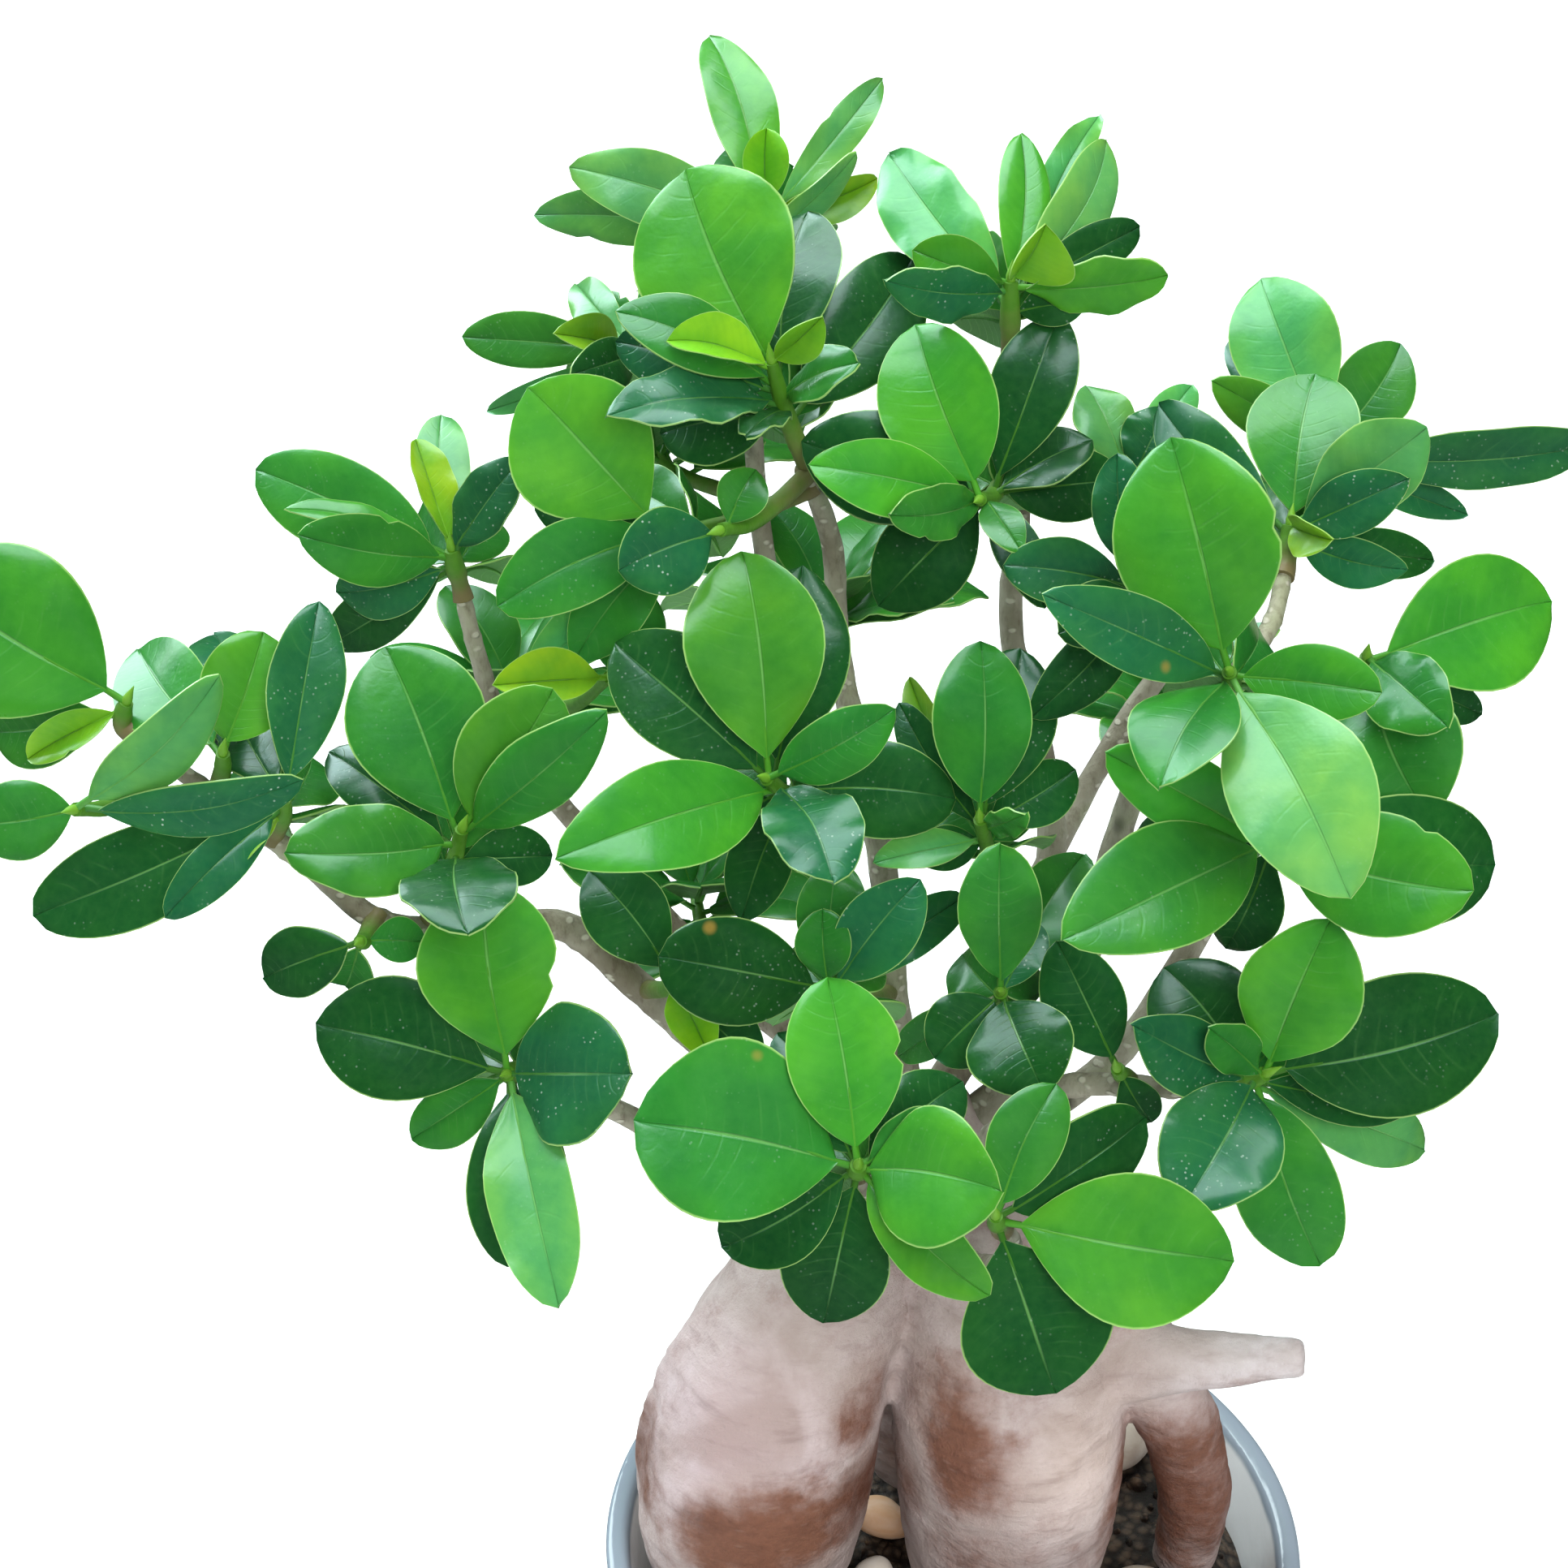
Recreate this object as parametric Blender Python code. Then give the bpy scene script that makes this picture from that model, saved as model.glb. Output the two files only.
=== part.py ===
"""A ginseng fig bonsai in a round glazed pot, with pebbles lying on its soil.

Run it with: blender --background --python part.py
Lengths in this script are millimetres. They become metres where a mesh is made.
"""

import math

import bmesh
import bpy
import numpy as np
from mathutils import Quaternion, Vector
from mathutils.bvhtree import BVHTree

MM = 0.001
GAP = 0.3  # air between two pieces that touch

# The pot stands at the origin.
POT_HEIGHT = 90.0
POT_RIM_RADIUS = 80.0
POT_BASE_RADIUS = 57.0
POT_WALL = 5.0
POT_FLOOR = 7.0
POT_ROUNDING = 1.8
POT_SIDES = 40
DRAIN_HOLES = 3
DRAIN_HOLE_RADIUS = 4.0
DRAIN_HOLE_CIRCLE = 26.0
DRAIN_HOLE_SIDES = 12

SOIL_BELOW_RIM = 12.0

PEBBLE_LENGTH = 22.0
PEBBLE_WIDTH_SHARE = 0.72
PEBBLE_EDGE_GAP = 0.5  # from a pebble to the roots, the pot and the next pebble
PEBBLE_TURN_STEP = 4.0  # degrees round the pot that a pebble moves at a time to find room
PEBBLE_TURNS = 20
PEBBLE_OUTWARD_STEP = 2.0
PEBBLE_OUTWARD_STEPS = 20

ROOT_SIDES = 12
ROOT_FLOOR_GAP = 1.0  # from the pot's floor to the middle of a root's foot
TRUNK_HEIGHT = 104.0  # trunk top above the rim
TRUNK_TOP_ACROSS = -10.0
TRUNK_TOP_BACK = 24.0
TRUNK_FOOT_BACK = 13.0

# The crown is laid out on a sheet that leans back. Its places fan out from one focus point:
# across and up on the sheet, and out from the sheet towards the focus.
SHEET_LEAN = math.radians(31.0)
SHEET_ACROSS = -38.6
SHEET_BACK = 11.0
SHEET_ABOVE_RIM = 193.0
FOCUS_DISTANCE = 521.0
CROWN_SCALE = 1.0  # spread of the crown about the trunk top

BRANCH_SIDES = 8
BRANCH_THICKNESS = 1.0  # share of the listed branch radii
FOOT_CLEARANCE = 0.2  # least air between a branch or a stem and what it grows from
FOOT_LIFT = 0.1  # how much further off a foot moves at a time to be clear
FOOT_LIFTS = 7
STRETCH_END = 0.05  # share of a branch's stretch, at each of its ends, that no stem aims at
STEM_SIDES = 6
STEM_FOOT_RADIUS = 1.7
STEM_TIP_RADIUS = 1.2
STEM_BEND = 1.3  # how far off its branch a stem bends, in radii of its foot
STEM_RISE = 0.35  # how much a stem climbs for its length
STEM_ARCH = 0.12  # how far its middle hangs below its end, for its length
STEM_MIDDLE = 0.6  # where its middle is, from its foot
BUD_RADIUS = 0.4
BUD_LENGTH = 4.0
LEAF_SPACING = 1.5  # between leaf bases along a stem
LEAFY_SHARE = 0.8  # how far down a stem's lower stretch leaves stand
LEAF_THICKNESS = 1.0
LEAF_WIDTH_SCALE = 1.0
LEAF_CLEARANCE = 0.4
PETIOLE_HALF_WIDTH = 0.7
PETIOLE_SHARE = 0.1  # share of a leaf's length
OUTLINE_SKEW = 1.15  # over 1, the leaf is widest beyond its middle
OUTLINE_FULLNESS = 0.65  # lower is blunter
LEAF_ROWS = (0.0, 0.12, 0.42, 0.78, 1.0)

# What a leaf tries in turn to find room: how far its tip swings towards the focus, how much more
# it turns in degrees, and its size as a share.
SWINGS = (0, 4, -4, 8, -8, 12, -12, 17, -17)
TURNS = (0, 14, -14, 28, -28)
SHARES = (1.0, 0.93, 0.86, 0.79, 0.72, 0.65, 0.57, 0.5, 0.42, 0.34)

# How strongly a leaf is folded along its midrib and bowed along its length, by its age:
# y young, l light, m middle, d dark and old, t tough and dusty, p pale and thin.
FOLD = {"y": 0.45, "l": 0.2, "m": 0.16, "d": 0.12, "t": 0.22, "p": 0.16}
BOW = {"y": 0.05, "l": 0.06, "m": 0.07, "d": 0.07, "t": 0.08, "p": 0.06}

GREEN = (0.05, 0.30, 0.06)
BARK = (0.32, 0.28, 0.22)
ROOT_SKIN = (0.30, 0.20, 0.16)
SOIL_BROWN = (0.05, 0.035, 0.025)
GLAZE_WHITE = (0.80, 0.80, 0.80)
SHARP_EDGE = math.radians(40.0)

# Roots: places (across, back, up) and radius. Across and back are shares of the soil's radius,
# up is a share of the height from the soil to the trunk top.
ROOTS = {
    "left_bulb": (
        (-0.60, -0.06, -0.20, 0.20),
        (-0.645, -0.06, 0.15, 0.345),
        (-0.58, -0.04, 0.45, 0.345),
        (-0.43, 0.04, 0.69, 0.28),
        (-0.25, 0.16, 0.86, 0.20),
    ),
    "middle_bulb": (
        (0.15, -0.04, -0.25, 0.22),
        (0.17, -0.04, 0.17, 0.33),
        (0.15, -0.03, 0.49, 0.35),
        (0.07, 0.08, 0.74, 0.27),
        (-0.08, 0.24, 0.90, 0.20),
        (-0.14, 0.33, 1.0, 0.165),
    ),
    "back_bulb": (
        (-0.05, 0.55, -0.20, 0.16),
        (-0.06, 0.48, 0.19, 0.25),
        (-0.10, 0.36, 0.52, 0.27),
        (-0.12, 0.30, 0.80, 0.20),
    ),
    "right_root": (
        (0.78, 0.03, -0.15, 0.08),
        (0.77, 0.02, 0.15, 0.11),
        (0.67, 0.0, 0.42, 0.125),
        (0.44, 0.03, 0.65, 0.15),
        (0.15, 0.14, 0.80, 0.17),
    ),
    "cut_stub": (
        (0.22, -0.02, 0.52, 0.16),
        (0.50, -0.08, 0.59, 0.12),
        (0.80, -0.13, 0.62, 0.08),
        (1.02, -0.15, 0.64, 0.045),
    ),
    "left_aerial_root": (
        (-0.93, 0.02, -0.08, 0.03),
        (-0.985, 0.0, 0.25, 0.032),
        (-0.91, -0.03, 0.50, 0.034),
        (-0.74, -0.02, 0.69, 0.036),
        (-0.50, 0.06, 0.78, 0.05),
    ),
}

# Branches: where each leaves the trunk (a share of the way from the soil to the trunk top),
# then places on the sheet (across, up, out) with a radius.
BRANCHES = {
    "left": (0.88, (-28, -66, -42, 3.9), (-40, -60, -38, 3.7), (-53, -52, -35, 3.5),
             (-67, -40, -28, 3.3), (-82, -28, -20, 3.1), (-100, -29, -8, 2.7), (-118, -27, 0, 2.4),
             (-132, -16, 2, 2.2), (-143, -8, 4, 2.0), (-158, 3, 5, 1.7), (-168, 10, 6, 1.5)),
    "middle": (0.79, (-17, -44, -42, 3.4), (-19, -17, -36, 3.0), (-24, 6, -32, 2.7),
               (-28, 28, -28, 2.4), (-29, 46, -20, 2.2), (-34, 62, -4, 1.9)),
    "right_top": (0.93, (6, -40, -50, 3.4), (14, -12, -50, 3.1), (10, 14, -44, 2.8),
                  (6, 32, -36, 2.5), (8, 60, -24, 2.2), (6, 86, -4, 1.8)),
    "right_front": (0.86, (16, -48, -46, 3.2), (26, -14, -40, 2.9), (32, 2, -28, 2.6),
                    (42, 13, -4, 2.3), (49, 20, 16, 2.1), (57, 31, 12, 1.8), (60, 42, 6, 1.6)),
    "right_side": (0.80, (28, -52, -56, 3.0), (52, -14, -40, 2.6), (68, 8, -16, 2.1),
                   (75, 20, 0, 1.7)),
    "low_right": (0.74, (6, -66, -26, 2.7), (15, -60, -8, 2.5), (28, -59, 2, 2.2),
                  (38, -60, 7, 1.9), (45, -59, 9, 1.7)),
    "low_left": (0.76, (-44, -78, -38, 2.8), (-64, -68, -24, 2.5), (-82, -59, -6, 2.1),
                 (-90, -56, 6, 1.7)),
    "front_left": (0.70, (-20, -92, -30, 2.8), (-23, -88, 0, 2.4), (-24, -80, 24, 2.0),
                   (-24, -76, 38, 1.7)),
    "front_right": (0.68, (0, -95, -30, 2.6), (6, -94, 0, 2.3), (6, -90, 18, 2.0),
                    (4, -87, 30, 1.7)),
    "left_high": (0.92, (-44, -44, -68, 3.0), (-72, -16, -64, 2.6), (-92, 8, -54, 2.2),
                  (-99, 26, -44, 1.9), (-102, 38, -38, 1.7)),
    "back": (0.87, (-22, -46, -82, 3.2), (-32, -6, -92, 2.8), (-42, 42, -86, 2.4),
             (-45, 80, -72, 2.0), (-42, 99, -59, 1.7)),
    "back_right": (0.90, (4, -34, -78, 3.0), (26, 8, -86, 2.6), (48, 38, -72, 2.2),
                   (62, 54, -56, 1.9), (66, 60, -48, 1.6)),
}

# Leafy shoots: the branch each grows from, the place of its bud, and its leaves, youngest
# first: the place of the leaf's tip, its width, its turn about its own length and its age.
SHOOTS = {
    "crown_top": ("middle", (-41, 83, 14), (
        (-31, 92, 22, 8, 20, "y"), (-61, 88, 23, 10, 40, "y"), (-58, 121, 8, 33, 0, "l"),
        (-34, 113, -4, 21, -10, "d"), (-71, 94, 20, 15, 20, "m"), (-72, 87, 12, 14, 10, "t"),
        (-24, 83, 25, 12, -50, "m"), (-73, 74, 27, 15, 50, "t"), (-46, 69, 24, 9, 50, "d"),
        (-63, 69, 4, 17, 15, "d"), (-13, 104, -18, 20, 0, "d"))),
    "crown_middle": ("right_top", (0, 56, 10), (
        (-13, 91, 8, 23, 0, "l"), (-33, 63, 21, 15, 10, "l"), (8, 46, 20, 8, -20, "m"),
        (-18, 53, 20, 11, -15, "m"), (-35, 68, 6, 22, 10, "d"), (-20, 35, 2, 19, 0, "d"),
        (13, 35, 8, 10, -20, "d"), (22, 68, 0, 14, -35, "d"), (15, 93, -14, 17, 0, "d"),
        (28, 60, -6, 15, 0, "d"))),
    "crown_top_right": ("right_top", (6, 99, 4), (
        (13, 110, 14, 14, 40, "y"), (-13, 105, 8, 12, 0, "l"), (37, 100, 8, 13, 10, "l"),
        (-18, 98, 16, 12, -30, "t"), (32, 110, -4, 10, 0, "d"), (8, 128, -8, 11, 10, "l"),
        (27, 127, -10, 14, 0, "p"), (24, 133, -20, 8, 0, "p"), (-18, 124, -20, 18, 0, "p"),
        (21, 95, 2, 9, 0, "d"))),
    "back_top": ("back", (-42, 113, -48), (
        (-42, 129, -44, 10, 0, "y"), (-20, 119, -42, 9, 0, "y"), (-19, 139, -58, 9, 0, "p"),
        (-53, 149, -64, 15, 15, "l"), (-81, 122, -48, 16, 10, "p"), (-88, 112, -70, 13, 0, "p"),
        (-24, 123, -38, 8, 40, "p"), (-50, 126, -80, 12, 0, "m"))),
    "left_top": ("back", (-70, 86, -34), (
        (-83, 89, -22, 9, 25, "y"), (-102, 88, -42, 12, 0, "m"), (-80, 99, -54, 10, 0, "p"),
        (-79, 81, -14, 11, 0, "d"), (-98, 73, -50, 6, 0, "p"), (-60, 101, -46, 10, 0, "p"))),
    "left_middle": ("middle", (-63, 50, 6), (
        (-89, 78, 14, 29, 0, "l"), (-95, 35, 14, 17, 10, "m"), (-88, 56, 0, 13, 0, "d"),
        (-80, 24, -2, 14, 0, "m"), (-89, 22, -12, 13, 0, "p"))),
    "left_inner": ("left_high", (-73, 21, -4), (
        (-95, 20, 10, 11, 15, "y"), (-66, 39, -8, 16, 0, "m"))),
    "left_gloss": ("middle", (-51, 50, 18), (
        (-71, 42, 24, 17, -10, "t"), (-44, 62, 16, 10, 0, "m"))),
    "left_high": ("left_high", (-104, 46, -32), (
        (-111, 68, -36, 9, 25, "y"), (-106, 73, -46, 12, 0, "p"), (-91, 64, -22, 13, -25, "t"),
        (-143, 62, -44, 20, 0, "m"), (-134, 49, -26, 15, 10, "m"), (-136, 56, -22, 8, 50, "l"),
        (-127, 37, -42, 14, -25, "t"), (-129, 27, -50, 13, 0, "d"))),
    "left_front": ("left", (-102, -9, 20), (
        (-84, 18, 28, 21, -15, "l"), (-74, 13, 36, 15, 15, "m"), (-117, 27, 14, 27, 0, "m"),
        (-136, -13, 34, 18, 10, "m"), (-129, 7, 4, 13, 0, "d"), (-101, -28, 42, 22, 0, "d"),
        (-84, -14, 10, 12, 0, "d"), (-90, 14, 6, 18, 0, "m"))),
    "left_twig_middle": ("left", (-137, -3, 16), (
        (-130, 36, 6, 15, 0, "t"), (-147, 16, -6, 14, 0, "d"), (-160, -26, 18, 10, -30, "t"),
        (-187, -26, 10, 19, 10, "d"), (-150, -19, 20, 7, 20, "y"))),
    "left_twig_foot": ("left", (-122, -31, 14), (
        (-141, -38, 4, 14, 0, "d"), (-126, -41, -16, 14, 0, "m"), (-109, -31, 8, 9, 0, "m"))),
    "far_left_middle": ("left", (-149, 6, 15), (
        (-141, 30, 14, 18, 0, "l"), (-166, 27, -8, 19, 0, "m"), (-151, 32, -20, 14, 0, "t"))),
    "far_left_tip": ("left", (-168, 16, 10), (
        (-207, 41, 16, 34, 0, "l"), (-188, 5, 8, 8, 15, "y"), (-196, 10, -4, 15, 0, "m"))),
    "far_left_front": ("left", (-178, -5, 36), (
        (-150, 19, 52, 13, 25, "p"), (-134, -1, 44, 12, 20, "t"), (-200, -8, 38, 15, 0, "m"))),
    "centre": ("middle", (-42, 1, 16), (
        (-17, 14, 24, 13, 15, "m"), (-47, 46, 16, 27, 0, "l"), (-72, 28, 10, 22, 0, "d"),
        (-35, 43, 0, 21, 0, "d"), (-29, -18, 34, 19, -20, "t"), (-81, -13, 44, 21, 10, "l"),
        (-5, -3, 14, 19, 0, "d"), (-71, -15, 16, 10, 0, "d"), (-47, -27, 4, 13, 0, "d"))),
    "centre_left": ("left", (-60, -38, -6), (
        (-77, -17, -8, 17, 0, "d"), (-53, -54, 2, 10, 0, "y"), (-43, -56, -6, 13, 0, "d"))),
    "centre_low": ("middle", (-30, -40, 10), (
        (-31, -25, 14, 11, 0, "m"), (-63, -34, 14, 21, 0, "d"), (-12, -19, 14, 15, 0, "t"),
        (-28, -15, 2, 14, 0, "m"), (-3, -22, -8, 10, 0, "t"))),
    "lower_left": ("low_left", (-93, -57, 14), (
        (-98, -19, 16, 27, 0, "l"), (-131, -47, 12, 24, 0, "d"), (-69, -57, 30, 27, 0, "t"),
        (-83, -103, 34, 17, 10, "p"), (-93, -95, 22, 17, 0, "d"), (-112, -70, 8, 12, 0, "m"),
        (-86, -87, 18, 12, -20, "t"), (-72, -48, -2, 10, 0, "d"))),
    "front_left": ("front_left", (-24, -75, 48), (
        (-30, -38, 46, 21, 0, "l"), (-6, -66, 46, 10, 0, "m"), (-40, -49, 36, 14, 0, "d"),
        (-68, -66, 52, 33, 10, "m"), (3, -80, 62, 25, 0, "l"), (1, -101, 56, 13, 20, "l"),
        (-51, -91, 42, 17, 0, "d"), (-31, -107, 38, 20, 0, "d"), (-3, -58, 32, 15, 0, "d"))),
    "front_right": ("front_right", (3, -85, 40), (
        (15, -59, 38, 14, 0, "m"), (33, -66, 30, 18, 0, "d"), (50, -94, 38, 28, 0, "l"),
        (15, -120, 36, 29, 0, "d"))),
    "right_low": ("low_right", (56, -57, 18), (
        (69, -27, 32, 23, 0, "l"), (45, -48, 20, 10, 0, "m"), (102, -45, 12, 27, 0, "d"),
        (40, -83, 36, 23, 0, "t"), (67, -95, 14, 20, 0, "m"), (36, -36, 6, 21, 0, "d"),
        (31, -48, 26, 15, 0, "t"), (88, -62, 4, 11, 0, "d"), (90, -73, -12, 14, 0, "p"))),
    "centre_low_right": ("right_top", (4, -41, 16), (
        (4, -12, 26, 16, 0, "m"), (12, -60, 26, 21, 0, "d"), (-9, -54, 14, 15, 0, "d"),
        (11, -27, 6, 10, 0, "t"), (21, -13, 4, 14, 0, "m"), (-17, -54, -6, 9, 0, "m"))),
    "low_twig": ("low_right", (27, -56, 12), (
        (15, -31, 14, 16, 0, "d"), (34, -67, 6, 9, 0, "d"))),
    "centre_right": ("right_top", (0, -7, 16), (
        (0, 28, 20, 19, 0, "m"), (8, 27, 8, 19, 0, "d"), (19, 3, 12, 12, 0, "d"),
        (9, -6, 24, 7, 30, "m"), (-14, 21, 0, 8, 0, "y"), (-16, 16, 6, 9, 0, "d"),
        (-21, -15, 4, 8, 25, "p"), (-13, -14, 8, 9, 0, "d"), (15, -15, -32, 14, 0, "p"))),
    "right_middle": ("right_side", (57, -12, 26), (
        (97, -21, 44, 23, 0, "l"), (25, 6, 34, 15, 0, "l"), (17, -30, 48, 23, 10, "m"),
        (103, -16, 14, 25, 0, "d"), (48, -33, 10, 14, 0, "d"), (30, -9, 0, 12, 0, "d"))),
    "right_front": ("right_front", (49, 22, 40), (
        (37, 68, 46, 31, 0, "l"), (72, -21, 62, 26, 0, "p"), (79, 18, 50, 14, 0, "l"),
        (35, 1, 54, 20, 0, "m"), (13, 37, 52, 14, 0, "t"))),
    "right_inner": ("right_front", (30, 40, 16), (
        (27, 65, 22, 11, 0, "t"), (5, 43, 20, 13, 0, "t"), (16, 30, 22, 13, 0, "d"),
        (10, 13, 16, 12, 0, "d"))),
    "right_side": ("right_side", (76, 25, 10), (
        (91, 12, 28, 16, 0, "m"), (113, 36, -6, 27, 0, "l"), (88, -6, 18, 26, 0, "m"),
        (100, 13, -8, 9, 0, "d"))),
    "right_high": ("right_front", (61, 51, 6), (
        (69, 48, 14, 8, 25, "y"), (88, 70, 16, 18, 15, "p"), (66, 81, -4, 22, 0, "m"),
        (84, 60, 20, 12, 0, "t"), (35, 75, -6, 14, 0, "t"), (84, 42, 12, 10, 15, "t"),
        (90, 44, -6, 10, 0, "d"))),
    "right_back": ("back_right", (68, 66, -38), (
        (55, 100, -44, 23, 0, "p"), (46, 79, -24, 11, 0, "l"), (83, 87, -40, 17, 0, "m"),
        (49, 88, -54, 13, 0, "t"), (122, 67, -44, 13, 15, "t"), (96, 53, -48, 8, 0, "t"))),
    "middle_back": ("back_right", (29, 60, -36), (
        (21, 79, -42, 14, 0, "p"), (37, 74, -38, 13, 0, "t"), (42, 79, -50, 10, 0, "p"))),
}

# Leafy shoots behind the crown: the branch, the bud, and the count and length of the leaves,
# which stand round the stem by the golden angle.
ROUND_SHOOTS = {
    "back_left": ("left_high", (-92, 18, -92), 9, 38),
    "back_low": ("left_high", (-56, -22, -104), 9, 38),
    "back_middle": ("back", (-30, 34, -116), 10, 40),
    "back_crown": ("back", (-66, 66, -96), 9, 36),
    "back_right": ("back_right", (42, 14, -118), 10, 40),
}
GOLDEN_ANGLE = math.radians(137.5)
ROUND_LEAF_WIDTH = 0.62  # share of its length

# Leaves that the longer listed shoots have on their far side: across, up and out from the bud,
# width and turn.
FAR_LEAVES = ((6, 9, -26, 15, 40), (-8, 8, -24, 14, -45), (12, -5, -30, 15, -35), (-11, -7, -28, 15, 40))
FEWEST_FOR_FAR_LEAVES = 5  # shorter shoots have none

PEBBLES = (
    # Name, angle and share of the soil's radius, size, height share, colour.
    ("pebble_orange", 150.0, 0.25, 0.66, 0.90, (0.71, 0.52, 0.41)),
    ("pebble_pale", -160.0, 0.27, 0.45, 0.90, (0.68, 0.60, 0.54)),
    ("pebble_tan", -18.0, 0.63, 0.80, 0.85, (0.63, 0.53, 0.44)),
    ("pebble_white", -42.0, 0.62, 0.80, 0.75, (0.82, 0.86, 0.88)),
    ("pebble_front", -95.0, 0.66, 1.05, 0.60, (0.60, 0.56, 0.52)),
    ("pebble_right", 38.0, 0.72, 1.00, 0.60, (0.50, 0.42, 0.36)),
    ("pebble_back", 70.0, 0.78, 0.95, 0.65, (0.72, 0.62, 0.50)),
    ("pebble_left", 140.0, 0.76, 0.95, 0.60, (0.80, 0.77, 0.72)),
)


# ---------------------------------------------------------------- frame of the crown

RIGHT = Vector((1.0, 0.0, 0.0))
STRAIGHT_UP = Vector((0.0, 0.0, 1.0))
INWARD = Vector((0.0, math.cos(SHEET_LEAN), -math.sin(SHEET_LEAN)))
UPWARD = Vector((0.0, math.sin(SHEET_LEAN), math.cos(SHEET_LEAN)))
SHEET_CENTRE = Vector((SHEET_ACROSS, SHEET_BACK, POT_HEIGHT + SHEET_ABOVE_RIM))
FOCUS = SHEET_CENTRE - FOCUS_DISTANCE * INWARD
TRUNK_TOP = Vector((TRUNK_TOP_ACROSS, TRUNK_TOP_BACK, POT_HEIGHT + TRUNK_HEIGHT))
SOIL_TOP = POT_HEIGHT - SOIL_BELOW_RIM


def on_sheet(across, up, out):
    """The place, in millimetres, of a crown place given on the sheet."""
    reach = FOCUS_DISTANCE * INWARD + (across - SHEET_ACROSS) * RIGHT + up * UPWARD
    place = FOCUS + (1.0 - out / FOCUS_DISTANCE) * reach
    return TRUNK_TOP + CROWN_SCALE * (place - TRUNK_TOP)


def pot_inner_radius(height):
    """Inner radius of the pot at a height."""
    slope = (POT_RIM_RADIUS - POT_BASE_RADIUS) / POT_HEIGHT
    return POT_BASE_RADIUS + slope * height - POT_WALL * math.hypot(1.0, slope)


# ---------------------------------------------------------------- meshes


def make_object(name, verts, faces, colour, roughness):
    """An object of the given faces, with a material of its own."""
    mesh = bpy.data.meshes.new(name)
    mesh.from_pydata([tuple(MM * v for v in vert) for vert in verts], [], faces)
    mesh.validate()
    obj = bpy.data.objects.new(name, mesh)
    bpy.context.scene.collection.objects.link(obj)
    material = bpy.data.materials.new(name)
    material.use_nodes = True
    shader = material.node_tree.nodes["Principled BSDF"]
    shader.inputs["Base Color"].default_value = (*colour, 1.0)
    shader.inputs["Roughness"].default_value = roughness
    shader.inputs["Metallic"].default_value = 0.0
    mesh.materials.append(material)
    mesh.shade_smooth()
    mesh.set_sharp_from_angle(angle=SHARP_EDGE)
    return obj


def ring_faces(rings, sides):
    """Side faces between rings of the same number of points, and a face on each end."""
    faces = [list(reversed(range(sides)))]
    for ring in range(rings - 1):
        low = ring * sides
        for k in range(sides):
            after = (k + 1) % sides
            faces.append([low + k, low + after, low + sides + after, low + sides + k])
    faces.append([(rings - 1) * sides + k for k in range(sides)])
    return faces


def tube(path, radii, sides):
    """Points and faces of a closed tube along a path, without twist."""
    verts = []
    last = len(path) - 1
    direction = (path[1] - path[0]).normalized()
    side = direction.orthogonal().normalized()
    for index, (centre, radius) in enumerate(zip(path, radii)):
        ahead = path[min(index + 1, last)] - path[max(index - 1, 0)]
        ahead.normalize()
        side = direction.rotation_difference(ahead) @ side
        direction = ahead
        up = direction.cross(side)
        for k in range(sides):
            angle = math.tau * k / sides
            verts.append(centre + radius * (math.cos(angle) * side + math.sin(angle) * up))
    return verts, ring_faces(len(path), sides)


def turned(profile, sides):
    """Points and faces of a solid turned about Z. Its open profile of radius and height runs from
    the foot, up the outside and, on a cup, down the inside. Flat faces close its two ends."""
    verts = []
    for radius, height in profile:
        for k in range(sides):
            angle = math.tau * k / sides
            verts.append(Vector((radius * math.cos(angle), radius * math.sin(angle), height)))
    return verts, ring_faces(len(profile), sides)


def tree_of(verts, faces):
    return BVHTree.FromPolygons(verts, faces)


class Helpers:
    """The collection of shapes that a Boolean modifier takes, which aren't parts themselves."""

    def __init__(self, name):
        self.collection = bpy.data.collections.new(name)
        self.collection.hide_render = True
        bpy.context.scene.collection.children.link(self.collection)

    def add(self, name, verts, faces):
        mesh = bpy.data.meshes.new(name)
        mesh.from_pydata([tuple(MM * v for v in vert) for vert in verts], [], faces)
        obj = bpy.data.objects.new(name, mesh)
        obj.hide_render = True
        obj.display_type = "WIRE"
        self.collection.objects.link(obj)
        return obj


def boolean(obj, name, helpers, operation):
    modifier = obj.modifiers.new(name, "BOOLEAN")
    modifier.operation = operation
    modifier.operand_type = "COLLECTION"
    modifier.collection = helpers.collection
    modifier.solver = "EXACT"


# ---------------------------------------------------------------- pot, soil and pebbles


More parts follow.
